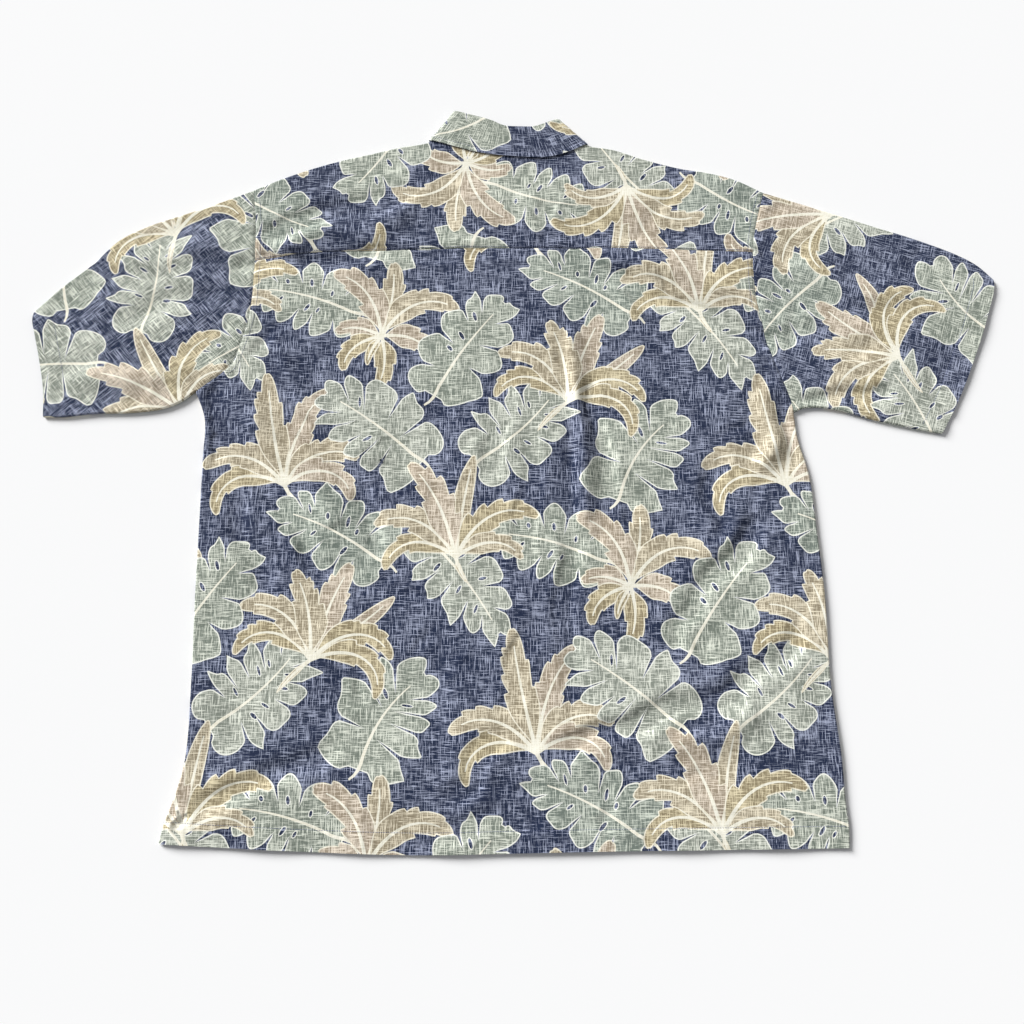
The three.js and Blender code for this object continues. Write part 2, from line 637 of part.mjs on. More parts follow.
function makeCollar() {
  const towards = (parts, others, distance) =>
    parts.map((line, p) =>
      line.map((point, i) => add(point, scale(unit(subtract(others[p][i], point)), distance))),
    );
  const standFold = towards(foldParts, neckParts, COLLAR.standInset);
  const standNeck = towards(neckParts, foldParts, SEAM_GAP);
  return [
    makeCollarPiece("collar_fall", foldParts, edgeParts, 0, BACK_TOP + LAYER, 0),
    makeCollarPiece("collar_stand", standFold, standNeck, LAYER, BACK_TOP, LAYER),
  ];
}

// A sewn-through button, its dished face on the surface.
function makeButton(number) {
  const { radius, thick, rim, dish, sides } = BUTTON;
  const profile = [
    [0, dish],
    [radius - 2 * rim, dish],
    [radius - rim, 0],
    [radius, thick / 2],
    [radius - rim / 2, thick],
    [0, thick],
  ].map(([r, z]) => new THREE.Vector2(r, z));
  const geometry = new THREE.LatheGeometry(profile, sides);
  const button = new THREE.Mesh(geometry, buttonPlastic);
  button.name = `button_${number}`;
  button.rotation.x = Math.PI / 2;
  button.position.set(BAND.x, BUTTON.firstY - BUTTON.pitch * (number - 1), 0);
  return button;
}

const shirt = new THREE.Group();
shirt.name = "aloha_shirt";
shirt.add(makeBack(), makeYoke());
for (const side of ["left", "right"]) {
  shirt.add(makeFront(side), makeSleeve(side));
}
shirt.add(...makeCollar());
for (let number = 1; number <= BUTTON.count; number++) {
  shirt.add(makeButton(number));
}
shirt.position.set(-MIDDLE.x, -MIDDLE.y, 0);

export default shirt;
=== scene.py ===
# %% [markdown]
# # A wide aloha shirt, laid flat on its front
# The shirt lies with its back up and its collar to the top. Every panel is a thin sheet of printed
# cotton with a real front side, a wrong side and an edge, laid on the layers that it covers.
# All drawing numbers are millimetres on the laid shirt: x to the right, y towards the collar, z up.

# %% Load the measured frame
import math

import bpy
import numpy as np
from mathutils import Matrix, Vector
from mathutils.geometry import delaunay_2d_cdt


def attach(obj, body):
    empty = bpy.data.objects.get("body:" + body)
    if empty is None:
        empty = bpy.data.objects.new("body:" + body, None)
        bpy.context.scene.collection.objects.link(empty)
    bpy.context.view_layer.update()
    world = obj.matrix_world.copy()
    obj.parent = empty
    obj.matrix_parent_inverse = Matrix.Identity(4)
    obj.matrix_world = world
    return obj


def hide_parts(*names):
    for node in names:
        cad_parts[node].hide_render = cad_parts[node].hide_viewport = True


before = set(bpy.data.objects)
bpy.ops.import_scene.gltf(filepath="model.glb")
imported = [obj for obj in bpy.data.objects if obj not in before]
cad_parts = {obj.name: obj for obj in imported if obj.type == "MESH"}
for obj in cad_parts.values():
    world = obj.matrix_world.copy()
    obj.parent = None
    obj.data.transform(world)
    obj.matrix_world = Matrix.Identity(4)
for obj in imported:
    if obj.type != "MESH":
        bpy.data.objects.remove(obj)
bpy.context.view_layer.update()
MM = 0.001
MIDDLE = np.array([4.0, 67.5])
print("pieces of the frame:", len(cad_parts))

# %% [markdown]
# ## The cut
# A shirt maker describes a panel by where its edges pass certain places: underarm, chest, hem. The same
# places are used here, a row each. They could be drawn in a sketch, but a table keeps every
# measure readable, and the neighbours of a seam read the same row, so they can't drift apart.

# %% The outline of the laid shirt
BODY = {
    "left": [(-362, 140), (-350, 108), (-349, 60), (-348, -20), (-347, -100), (-345, -185), (-346, -268),
             (-354, -305), (-363, -332), (-368, -354)],
    "right": [(321, 115), (324, 84), (334, 42), (339, -25), (343, -100), (343, -190), (349, -265),
              (350, -310), (352, -336), (351, -358)],
}
ARMHOLE = {
    "left": [(-310, 394), (-305, 355), (-304, 304), (-304, 258), (-311, 211), (-326, 171), (-345, 154),
             (-362, 140)],
    "right": [(301, 391), (289, 345), (284, 313), (285, 260), (296, 198), (309, 158), (318, 132),
              (321, 115)],
}
YOKE_ROW = 2
SHOULDER = {
    "left": [(-310, 394), (-277, 409), (-240, 423), (-208, 433), (-172, 442), (-136, 451), (-112, 455),
             (-101, 458), (-98.5, 461)],
    "right": [(301, 391), (268, 408), (237, 417), (203, 423), (160, 435), (122, 448), (98, 452),
              (91, 454.5), (88, 457.5)],
}
SLEEVE_TOP = {
    "left": [(-310, 394), (-354, 376), (-392, 362), (-430, 348), (-465, 329), (-494, 298), (-524, 272),
             (-557, 239)],
    "right": [(301, 391), (346, 376), (398, 358), (435, 345), (473, 332), (522, 312), (548, 297),
              (566, 279)],
}
SLEEVE_UNDER = {
    "left": [(-362, 140), (-378, 128), (-397, 120), (-432, 115), (-473, 114), (-510, 110), (-534, 110)],
    "right": [(321, 115), (332, 120), (350, 121), (376, 117), (410, 107), (462, 95), (488, 90)],
}
CUFF = {
    "left": [(-557, 239), (-558, 229), (-553, 208), (-545, 178), (-537, 143), (-534, 110)],
    "right": [(566, 279), (565, 267), (555, 236), (538, 191), (512, 133), (488, 90)],
}
HEM = [(-368, -354), (-230, -361), (-100, -365), (-8, -363.5), (90, -361.5), (200, -360), (351, -358)]
YOKE_SEAM = [(-304, 304), (-278, 308), (-200, 315), (-10, 318), (200, 317), (284, 313)]
print("width across the hem:", HEM[-1][0] - HEM[0][0], "mm")

# %% The collar: its fold, its free edge and its neck seam, from one front end to the other
COLLAR_FOLD = [
    [(-11, 420), (-22, 428), (-37, 442), (-52, 463), (-64, 485), (-71, 501)],
    [(-71, 501), (-48, 494.5), (-25, 487.5), (-10, 480.5), (10, 479), (28, 479.5), (43, 485), (57, 490)],
    [(57, 490), (49, 475), (36, 455), (21, 438), (7, 427), (-3, 420)],
]
COLLAR_EDGE = [
    [(-72, 350), (-84, 374), (-94, 400), (-100, 426), (-102, 445), (-101, 461)],
    [(-101, 461), (-69, 451.5), (-40, 443.5), (-12, 439.5), (14, 437.5), (41, 437), (66, 443.5),
     (92, 456)],
    [(92, 456), (91, 441), (86, 420), (78, 396), (69, 372), (58, 348)],
]
COLLAR_NECK = [
    [(-10, 394.5), (-34, 398), (-58, 409), (-80, 428), (-93, 447), (-99.5, 463)],
    [(-99.5, 463), (-72, 458), (-42, 453.5), (-12, 450.5), (14, 450), (40, 451), (65, 454.5),
     (88.5, 459.4)],
    [(88.5, 459.4), (81, 444), (66, 425), (43, 408), (19, 398), (-5, 394.5)],
]
BAND_X = -8.0
BAND_HALF = 15.0
BAND_NECK_Y = 394.0
BAND_HEM = 3
BUTTONS = {"radius": 5.5, "thick": 2.0, "count": 7, "first_y": 335.0, "pitch": 95.0}
LAST_BUTTON_Y = BUTTONS["first_y"] - BUTTONS["pitch"] * (BUTTONS["count"] - 1)
print("buttons from y", BUTTONS["first_y"], "to", LAST_BUTTON_Y)

# %% Smooth lines through a row of places
def curve_rows(places, cells=24):
    """A soft curve through the places, with the same number of cells between each two of them."""
    p = np.array(places, float)
    p = np.vstack([2 * p[0] - p[1], p, 2 * p[-1] - p[-2]])
    t = np.linspace(0, 1, cells + 1)[:-1, None]
    dense = []
    for a, b, c, d in zip(p, p[1:], p[2:], p[3:]):
        ta, tb, tc = [math.sqrt(math.dist(*pair)) for pair in ((a, b), (b, c), (c, d))]
        start = ((b - a) / ta - (c - a) / (ta + tb) + (c - b) / tb) * tb
        end = ((c - b) / tb - (d - b) / (tb + tc) + (d - c) / tc) * tb
        dense.append((2 * t**3 - 3 * t**2 + 1) * b + (t**3 - 2 * t**2 + t) * start
                     + (3 * t**2 - 2 * t**3) * c + (t**3 - t**2) * end)
    return np.vstack(dense + [p[-2:-1]])


def curve_through(places, spacing):
    return even_steps(curve_rows(places), spacing)


def even_steps(line, spacing):
    reach = np.concatenate([[0], np.cumsum(np.hypot(*np.diff(line, axis=0).T))])
    marks = np.linspace(0, reach[-1], max(2, round(reach[-1] / spacing) + 1))
    return np.column_stack([np.interp(marks, reach, line[:, 0]), np.interp(marks, reach, line[:, 1])])


EDGE_STEP = 4.0


def lines_of(rows):
    """The curve of each row of places, whether the rows are named by their side or listed."""
    if isinstance(rows, dict):
        return {side: curve_through(row, EDGE_STEP) for side, row in rows.items()}
    return [curve_through(row, EDGE_STEP) for row in rows]


side_line, armhole_line, shoulder_line = lines_of(BODY), lines_of(ARMHOLE), lines_of(SHOULDER)
sleeve_top, sleeve_under, cuff_line = lines_of(SLEEVE_TOP), lines_of(SLEEVE_UNDER), lines_of(CUFF)
yoke_armhole = lines_of({side: row[:YOKE_ROW + 1] for side, row in ARMHOLE.items()})
back_armhole = lines_of({side: row[YOKE_ROW:] for side, row in ARMHOLE.items()})
hem_line, yoke_seam = lines_of([HEM, YOKE_SEAM])
fold_parts, edge_parts, neck_parts = lines_of(COLLAR_FOLD), lines_of(COLLAR_EDGE), lines_of(COLLAR_NECK)
print("hem curve:", len(hem_line), "places")

# %% [markdown]
# ## How the layers lie
# Cloth on a table is a stack: buttons, collar leaves, left front, right front, back, collar. Each layer
# is a height over the plan, and a layer rises softly where something lies under it. Cloth
# simulation could find these heights, but the shirt has to keep its outline to a few millimetres,
# so the heights are written as sums of soft steps and bells, which do the same each time.

# %% Distances and soft steps
def smooth(t):
    k = np.clip(t, 0, 1)
    return k * k * (3 - 2 * k)


def plateau(distance, reach):
    """One inside the flat reach of something, falling softly to zero over the slope."""
    return 1 - smooth((distance - reach[0]) / reach[1])


def line_distance(points, line):
    best = np.full(len(points), np.inf)
    for a, b in zip(line[:-1], line[1:]):
        along = b - a
        size = along @ along
        if size == 0:
            continue
        t = np.clip(((points - a) @ along) / size, 0, 1)
        gap = points - a - t[:, None] * along
        best = np.minimum(best, gap[:, 0] ** 2 + gap[:, 1] ** 2)
    return np.sqrt(best)


def outward_of(points, line, centre):
    """The direction across the nearest stretch of a line, away from the centre of the panel."""
    best = np.full(len(points), np.inf)
    out = np.zeros((len(points), 2))
    for a, b in zip(line[:-1], line[1:]):
        along = b - a
        t = np.clip(((points - a) @ along) / (along @ along), 0, 1)
        gap = points - a - t[:, None] * along
        size = gap[:, 0] ** 2 + gap[:, 1] ** 2
        normal = np.array([along[1], -along[0]]) / np.hypot(*along)
        if (a - centre) @ normal < 0:
            normal = -normal
        closer = size < best
        best[closer] = size[closer]
        out[closer] = normal
    return out


def winding(points, ring):
    """How many times a closed ring runs round each point."""
    count = np.zeros(len(points), int)
    x, y = points[:, 0], points[:, 1]
    for (x0, y0), (x1, y1) in zip(ring, np.roll(ring, -1, axis=0)):
        if y0 == y1:
            continue
        left = (x1 - x0) * (y - y0) - (x - x0) * (y1 - y0)
        up = (y0 <= y) & (y1 > y) & (left > 0)
        down = (y1 <= y) & (y0 > y) & (left < 0)
        count += up.astype(int) - down.astype(int)
    return count


def closed(ring):
    return np.vstack([ring, ring[:1]])


def ring_distance(points, ring):
    away = line_distance(points, closed(ring))
    return np.where(winding(points, ring) != 0, 0, away)


print("distance from the middle of the hem to the yoke seam:",
      round(float(line_distance(hem_line[len(hem_line) // 2][None], yoke_seam)[0])), "mm")

# %% The folds of the laid cloth
FOLD_SPREAD = 0.90
# from x, from y, to x, to y, half width, height (below zero for a trough)
FOLDS = np.array([
    [-325, 296, -150, 311, 15, -2.0], [-170, 311, 30, 312, 12, -1.5], [70, 308, 160, 258, 19, -2.7],
    [140, 266, 300, 204, 16, -2.4], [110, 318, 250, 262, 24, 2.6], [-290, 338, -115, 394, 17, -2.4],
    [-270, 318, -120, 362, 20, 1.9], [42, 385, 42, 328, 14, -2.2], [-340, 150, -330, 60, 20, -2.5],
    [-325, 182, -165, 24, 14, -2.5], [-165, 24, -146, -45, 15, -2.0], [-334, 88, -250, 0, 14, -2.4],
    [-250, 0, -210, -72, 15, -1.9], [-255, 172, -118, 50, 15, -1.9], [-312, 10, -268, -86, 17, -1.9],
    [-300, 110, -190, -10, 19, 2.5], [-250, 130, -150, 60, 19, 1.8], [0, 190, -22, 45, 14, -2.2],
    [24, 90, 16, -70, 14, -2.1], [60, -20, 58, -175, 15, -1.8], [18, -130, -8, -215, 15, -2.0],
    [86, 150, 112, 25, 14, -2.5], [112, 25, 140, -8, 14, -1.8], [70, 215, 84, -10, 15, 2.6],
    [276, -14, 200, -98, 19, -2.6], [200, -98, 174, -146, 17, -2.0], [220, 55, 232, -24, 17, -2.0],
    [294, 150, 288, 50, 20, 2.3], [318, 118, 322, 60, 20, -2.4], [44, -256, 140, -226, 15, -1.9],
    [130, -230, 240, -198, 17, -2.6], [236, -200, 314, -143, 17, -2.3], [150, -258, 270, -226, 22, 2.1],
    [-12, -240, -62, -312, 17, -2.0], [-84, -346, 24, -328, 15, -1.5], [-328, -316, -190, -258, 17, -2.1],
    [332, 130, 432, 141, 15, -2.1], [320, 215, 420, 190, 19, -1.7], [330, 290, 460, 250, 24, 1.8],
    [-350, 260, -470, 230, 21, -1.7], [-350, 320, -450, 300, 22, 1.8], [-370, 165, -500, 150, 22, 1.8],
    [-366, -325, -345, -336, 6, -2.2], [-360, -342, -349, -320, 6, 2.0], [-352, -324, -338, -328, 5, -1.6],
])


def fold_height(p, rows):
    total = np.zeros(len(p))
    for number, (x0, y0, x1, y1, width, height) in enumerate(rows):
        length = math.hypot(x1 - x0, y1 - y0)
        wx, wy = (x1 - x0) / length, (y1 - y0) / length
        away = p - (x0, y0)
        s = (away @ (wx, wy)) / length
        wander = 0.22 * width * np.sin(2.6 * math.pi * s + number) + 0.1 * width * np.sin(7 * s + 2 * number)
        across = (away[:, 0] * wy - away[:, 1] * wx + wander) / (FOLD_SPREAD * width)
        lean = 0.25 * math.sin(number * 1.7)
        across = across * (1 + lean * np.tanh(across))
        over = 0.8 * width / length
        fade = smooth((s + over) / (2 * over)) * smooth((1 + over - s) / (2 * over))
        uneven = 1 + 0.22 * np.sin(5.1 * s + 1.3 * number)
        total += height * fade * uneven * np.exp(-across**2) * (1 - 1.2 * across**2)
    return total


print("laid folds:", len(FOLDS), "deepest", FOLDS[:, 5].min(), "mm")

# %% Small random creases and the slow waves between them
CREASE_SEED = 11
SMALL_CREASES = 190
dice = np.random.default_rng(CREASE_SEED)
crease_x = dice.uniform(-540, 540, SMALL_CREASES)
crease_y = dice.uniform(-350, 440, SMALL_CREASES)
crease_turn = dice.uniform(0, math.pi, SMALL_CREASES)
crease_length = dice.uniform(24, 85, SMALL_CREASES)
creases = np.column_stack([
    crease_x, crease_y,
    crease_x + np.cos(crease_turn) * crease_length, crease_y + np.sin(crease_turn) * crease_length,
    dice.uniform(6, 13, SMALL_CREASES), dice.uniform(-1.3, 1.1, SMALL_CREASES),
])
waves = dice.uniform(0, 2 * math.pi, (7, 3))


def slow_waves(p):
    total = np.zeros(len(p))
    for turn, phase, size in waves:
        length = 55 + 20 * size
        k = 2 * math.pi / length
        total += 0.24 * np.sin(k * (p @ (math.cos(turn), math.sin(turn))) + phase)
    return total


print("small creases:", len(creases))

# %% Heights of the layers
WALL = 0.6
LAYER = 1.5
BACK_TOP = 4.6
SEAM_GAP = 0.1
BUTTON_LIFT = 2.3
EDGE_CALM = 15.0
FOLD_DEPTH = 1.9
HEM_DEPTH = 22.0
SLEEVE_HEM_DEPTH = 24.0
FRONT_REACH = {"leaf": (30, 25), "band": (19, 28), "band_end": (33, 28), "overlap": (22, 22)}
BACK_REACH = {"leaf": (58, 30), "band": (50, 45), "band_end": (46, 25), "overlap": (48, 45)}
leaf_left = np.vstack([fold_parts[0], edge_parts[0][::-1]])
leaf_right = np.vstack([fold_parts[2], edge_parts[2][::-1]])
fall_top = np.vstack([fold_parts[1], edge_parts[1][::-1]])
COARSE = 4


def coarse(line):
    """Every few places of a line are enough to tell how far away it is."""
    return np.vstack([line[:-1:COARSE], line[-1:]])


leaf_left, leaf_right, fall_top = coarse(leaf_left), coarse(leaf_right), coarse(fall_top)
folded_edges = [coarse(line) for lines in (side_line, shoulder_line, sleeve_top, sleeve_under)
                for line in lines.values()]
hem_coarse = coarse(hem_line)
cuff_coarse = {s: coarse(cuff_line[s]) for s in cuff_line}
armhole_coarse = {s: coarse(armhole_line[s]) for s in armhole_line}
yoke_coarse = coarse(yoke_seam)


def front_lift(p, reach=FRONT_REACH):
    leaf = np.minimum(ring_distance(p, leaf_left), ring_distance(p, leaf_right))
    past = np.maximum(np.maximum(p[:, 1] - BUTTONS["first_y"], LAST_BUTTON_Y - p[:, 1]), 0)
    band = plateau(np.abs(p[:, 0] - BAND_X), reach["band"]) * plateau(past, reach["band_end"])
    return np.maximum(LAYER * plateau(leaf, reach["leaf"]), BUTTON_LIFT * band)


def overlap_lift(p, reach=FRONT_REACH):
    return LAYER * plateau(np.abs(p[:, 0] - BAND_X), reach["overlap"])


def nearest(p, lines):
    return np.min([line_distance(p, line) for line in lines], axis=0)


def sewn_relief(p):
    """Seams pull the cloth down along a line and plump up beside it; hems are a double turn."""
    relief = np.zeros(len(p))
    ripple = np.sin(p[:, 0] * 0.71 + 1.4 * np.sin(p[:, 1] * 0.11)) + 0.6 * np.sin(p[:, 0] * 0.43 + 1)
    for line, allowance in ((yoke_coarse, 9), (armhole_coarse["left"], 10), (armhole_coarse["right"], 10)):
        away = line_distance(p, line)
        along = np.sin(0.62 * (p[:, 0] + p[:, 1]) + 1.1 * np.sin(0.13 * (p[:, 0] - p[:, 1])))
        relief += -0.75 * np.exp(-(away / 1.6) ** 2) + 0.35 * plateau(away, (allowance, 3))
        relief += 0.30 * along * np.exp(-((away - 4) / 7) ** 2)
    for line, depth in ((hem_coarse, HEM_DEPTH), (cuff_coarse["left"], SLEEVE_HEM_DEPTH),
                        (cuff_coarse["right"], SLEEVE_HEM_DEPTH)):
        away = line_distance(p, line)
        along = ripple if line is hem_coarse else np.sin(p[:, 1] * 0.66 + 1.2 * np.sin(p[:, 1] * 0.17))
        relief += 0.35 * plateau(away, (depth, 1.5)) - 0.5 * np.exp(-((away - depth) / 1.3) ** 2)
        relief += 0.17 * along * plateau(np.abs(away - depth * 0.62), (depth * 0.3, depth * 0.45))
    return relief


def back_top(p):
    open_edge = nearest(p, [hem_coarse, *cuff_coarse.values()])
    settled = 1.0 * np.maximum(0, 1 - open_edge / 52)
    collar_calm = smooth((ring_distance(p, fall_top) - 4) / 22)
    edge_calm = smooth(nearest(p, folded_edges) / EDGE_CALM)
    neck = plateau(p[:, 1] - BAND_NECK_Y, (8, 21))
    pile = front_lift(p, BACK_REACH) + overlap_lift(p, BACK_REACH) * neck + 2 * WALL + 0.35
    base = np.maximum(BACK_TOP - settled, pile + 0.9)
    soft = FOLD_DEPTH * fold_height(p, FOLDS) + fold_height(p, creases) + slow_waves(p)
    wanted = base + collar_calm * edge_calm * soft
    clear = pile + 0.35 * np.logaddexp(0, (wanted - pile) / 0.35)
    return clear + collar_calm * edge_calm * sewn_relief(p)


probe = np.array([[0.0, 0.0], [-8.0, 100.0], [-260.0, 60.0]])
print("heights of the back at three places:", back_top(probe).round(2), "mm")

# %% [markdown]
# ## The print
# The cloth is printed with broad split leaves and sprays of ragged blades on a ground hatched like
# coarse linen. Such a print could be an image; here each leaf is a formula, drawn as rings of
# points, and the rings are cut into the cloth's own mesh, so that an edge stays crisp at any zoom.
# The leaves are general ones of this kind, with lobes and notches by rule and by seeded chance.

# %% Colours of the print, as a dark and a light thread for each ink
def linear(code):
    values = [int(code[i:i + 2], 16) / 255 for i in (1, 3, 5)]
    return tuple(v / 12.92 if v <= 0.04045 else ((v + 0.055) / 1.055) ** 2.4 for v in values)


INKS = {
    "ground": ("#1d2842", "#a6adc3"),
    "sage": ("#767e74", "#dde1d3"),
    "sage pale": ("#80867c", "#e2e5d8"),
    "sage deep": ("#6e7870", "#d3d9cc"),
    "line": ("#dcdfd0", "#f0f1e8"),
    "rib": ("#dfdbc6", "#f3f0e1"),
    "ochre": ("#8c8065", "#e4d8b6"),
    "tan": ("#918670", "#ebe1c8"),
    "blush": ("#968976", "#e9ddcb"),
    "sand line": ("#dbd3ba", "#f1ecdb"),
}
inks = {name: (linear(dark), linear(light)) for name, (dark, light) in INKS.items()}
print("inks:", ", ".join(inks))

# %% A midrib, and a ring moved inwards
def walk(base, heading, length):
    """Places from base on that follow the headings in even steps."""
    step = length / (len(heading) - 1)
    x = base[0] + np.concatenate([[0], np.cumsum(np.cos(heading[:-1]) * step)])
    y = base[1] + np.concatenate([[0], np.cumsum(np.sin(heading[:-1]) * step)])
    return np.column_stack([x, y])


def rib_line(base, turn, length, bend, steps=25):
    """A stalk from base that heads along turn and bends on its way; it returns places and headings."""
    heading = turn + bend * (np.linspace(0, 1, steps) - 0.35)
    return walk(base, heading, length), heading


def out_from(rib, heading, start, lean, reach):
    """Places at a reach from a rib; start is a share of its length, lean the angle to its heading."""
    marks = np.linspace(0, 1, len(rib))
    aim = np.interp(start, marks, heading) + lean
    x = np.interp(start, marks, rib[:, 0]) + reach * np.cos(aim)
    y = np.interp(start, marks, rib[:, 1]) + reach * np.sin(aim)
    return np.column_stack([x, y])


def inset(ring, by):
    before = np.roll(ring, 1, axis=0)
    after = np.roll(ring, -1, axis=0)
    one = ring - before
    two = after - ring
    one /= np.maximum(np.hypot(*one.T), 1e-6)[:, None]
    two /= np.maximum(np.hypot(*two.T), 1e-6)[:, None]
    normal = np.column_stack([-(one + two)[:, 1], (one + two)[:, 0]])
    size = np.maximum(np.hypot(*normal.T), 0.7)[:, None]
    return ring + normal / size * by


def counter_clockwise(ring):
    x, y = ring.T
    area = np.sum(x * np.roll(y, -1) - y * np.roll(x, -1))
    return ring if area > 0 else ring[::-1]


def across_of(line):
    """The direction to the left of a line at each of its places."""
    way = np.gradient(line, axis=0)
    return np.column_stack([-way[:, 1], way[:, 0]]) / np.hypot(*way.T)[:, None]


def tapered(line, widths):
    """A strip along a line, with its half width at each place."""
    normal = across_of(line)
    reach = np.asarray(widths)[:, None]
    return counter_clockwise(np.vstack([line + normal * reach, (line - normal * reach)[::-1]]))


def ellipse(centre, turn, long, wide, count=10):
    a = np.linspace(0, 2 * math.pi, count, endpoint=False)
    x, y = long * np.cos(a), wide * np.sin(a)
    return np.column_stack([centre[0] + x * math.cos(turn) - y * math.sin(turn),
                            centre[1] + x * math.sin(turn) + y * math.cos(turn)])


print("a ring inset by 1 mm:", inset(ellipse((0, 0), 0, 5, 5), 1.0)[0].round(2))

# %% A broad split leaf
LINE_WIDTH = 1.35


def split_leaf(base, turn, length, width, bend, lobes, split, ink, seed, tail=24.0, detail=1.0):
    """Rings of a leaf with rounded and pointed lobes, slits between them and slots near the rib."""
    own = np.random.default_rng(seed)
    rib, heading = rib_line(base, turn, length, bend)
    marks = np.linspace(0, 1, len(rib))
    sides = []
    slots = []
    for side in (1, -1):
        count = lobes + int(own.integers(0, 2))
        cuts = np.cumsum(np.concatenate([[0], own.uniform(0.7, 1.4, count)]))
        cuts = cuts / cuts[-1]
        depths = split * own.uniform(0.6, 1.15, count + 1)
        depths[[0, -1]] = 0.22, 0.05
        per_lobe = max(8, int(17 * detail))
        edge = []
        for j in range(count):
            mouth = own.uniform(0.035, 0.07, 2)
            pointed = own.uniform(0.10, 0.30) if own.random() < 0.5 else 0.0
            peak = own.uniform(0.35, 0.8)
            phase = np.concatenate([[0.0, mouth[0] * 0.5], np.linspace(mouth[0], 1 - mouth[1], per_lobe),
                                    [1 - mouth[1] * 0.5]])
            t = cuts[j] + (cuts[j + 1] - cuts[j]) * phase
            slit = depths[j] * np.clip(1 - phase / mouth[0], 0, 1)
            slit += depths[j + 1] * np.clip(1 - (1 - phase) / mouth[1], 0, 1)
            inner = np.clip((phase - mouth[0] * 0.8) / (1 - 0.8 * mouth.sum()), 0, 1)
            bulge = 0.70 + 0.30 * np.sin(math.pi * inner) ** 0.55
            bulge += pointed * np.clip(1 - np.abs(phase - peak) / 0.3, 0, 1) ** 1.6
            bulge += 0.035 * np.sin(2.7 * phase * math.pi + seed + j)
            lean = np.radians(np.interp(t, [0, 0.12, 0.55, 0.85, 1], [150, 112, 66, 34, 4]))
            shape = np.sin(math.pi * (0.22 + 0.67 * t)) ** 0.5
            reach = 1.04 * width * shape * bulge * (1 - slit)
            edge.append(out_from(rib, heading, 0.08 + 0.80 * t, side * lean, reach))
            if 0 < j < count - 1 and own.random() < 0.75:
                s = 0.08 + 0.80 * (cuts[j] + (cuts[j + 1] - cuts[j]) * own.uniform(0.3, 0.7))
                way = np.interp(s, marks, heading) + side * np.interp(s, [0.1, 0.5, 0.9], [1.6, 1.15, 0.7])
                out = width * own.uniform(0.26, 0.44)
                centre = (np.interp(s, marks, rib[:, 0]) + out * math.cos(way),
                          np.interp(s, marks, rib[:, 1]) + out * math.sin(way))
                slots.append((centre, way, width * own.uniform(0.07, 0.15), own.uniform(1.2, 2.2)))
        sides.append(np.vstack(edge))
    outline = counter_clockwise(np.vstack([sides[0], sides[1][::-1]]))
    shapes = [(outline, "line"), (inset(outline, LINE_WIDTH), ink)]
    for centre, way, long, wide in slots:
        shapes.append((ellipse(centre, way, long + 1.1, wide + 1.0), "line"))
        shapes.append((ellipse(centre, way, long, wide, 8), "ground"))
    stalk, _ = rib_line(base, turn + math.pi, tail, -0.9, 8)
    whole = np.vstack([stalk[::-1], rib[1:int(len(rib) * 0.92)]])
    widths = np.interp(np.linspace(0, 1, len(whole)), [0, 0.16, 1], [1.1, 1.9, 0.6])
    shapes.append((tapered(whole[::2], widths[::2]), "rib"))
    return shapes


shapes = split_leaf((0, 0), 1.0, 140, 45, 0.3, 4, 0.4, "sage", 1)
print("one leaf:", len(shapes), "rings,", sum(len(ring) for ring, _ in shapes), "places")

# %% A blade with a torn edge, and a spray of them from one root
def torn_blade(root, turn, length, width, bend, notches, ink, seed, detail=1.0):
    """A drooping blade on its own stalk, with torn steps that lean to its tip."""
    own = np.random.default_rng(seed)
    marks = np.linspace(0, 1, 29)
    heading = turn + bend * (1.5 * marks**1.6 - 0.25)
    rib = walk(root, heading, length)
    sides = []
    for side in (1, -1):
        outer = side * bend <= 0
        t = np.linspace(0.02, 1, max(22, int(52 * detail)))
        body = smooth((t - 0.02) / 0.33) ** 0.85 * (1 - np.clip(t, 0, 1) ** 4.6) ** 0.66
        count = notches + int(own.integers(0, 2)) if outer or notches < 2 else notches - 1
        torn = np.ones(len(t))
        if notches:
            cuts = np.cumsum(own.uniform(0.4, 1.6, count + 1))
            cuts = 0.30 + 0.62 * cuts[:-1] / cuts[-1]
            depths = own.uniform(0.14, 0.36, count)
            ends = np.concatenate([[0.10], cuts, [1.1]])
            for j, (cut, depth) in enumerate(zip(cuts, depths)):
                span = ends[j + 2] - cut
                inside = (t >= cut) & (t < ends[j + 2])
                torn[inside] -= depth * (1 - (t[inside] - cut) / span) ** 1.8
                torn += 0.05 * np.exp(-((t - cut + 0.04) / 0.04) ** 2) * (t < cut)
        reach = width * body * torn * (1 + 0.06 * np.sin(7 * t + seed + side)) * (1.08 if outer else 0.92)
        reach = np.maximum(reach, 1.9 * (1 - t))
        lean = np.radians(np.interp(t, [0, 0.5, 0.85, 1], [86, 66, 52, 40]))
        sides.append(out_from(rib, heading, t, side * lean, reach))
    outline = counter_clockwise(np.vstack([sides[0], sides[1][::-1]]))
    vein = rib[:25:2]
    widths = np.linspace(2.3, 0.7, len(vein))
    return [(outline, "sand line"), (inset(outline, LINE_WIDTH), ink), (tapered(vein, widths), "rib")]


def spray(root, turn, blades, seed, detail=1.0):
    """Blades as rows: angle from the spray's own way, length, half width, bend, notches, ink."""
    shapes = []
    for number, (angle, length, width, bend, notches, ink) in enumerate(blades):
        way = turn + math.radians(angle)
        shapes += torn_blade(root, way, length, width, bend, notches, ink, seed + number, detail)
    return shapes


print("one blade:", len(torn_blade((0, 0), 0, 90, 11, 0.4, 5, "tan", 3)[0][0]), "places in its ring")

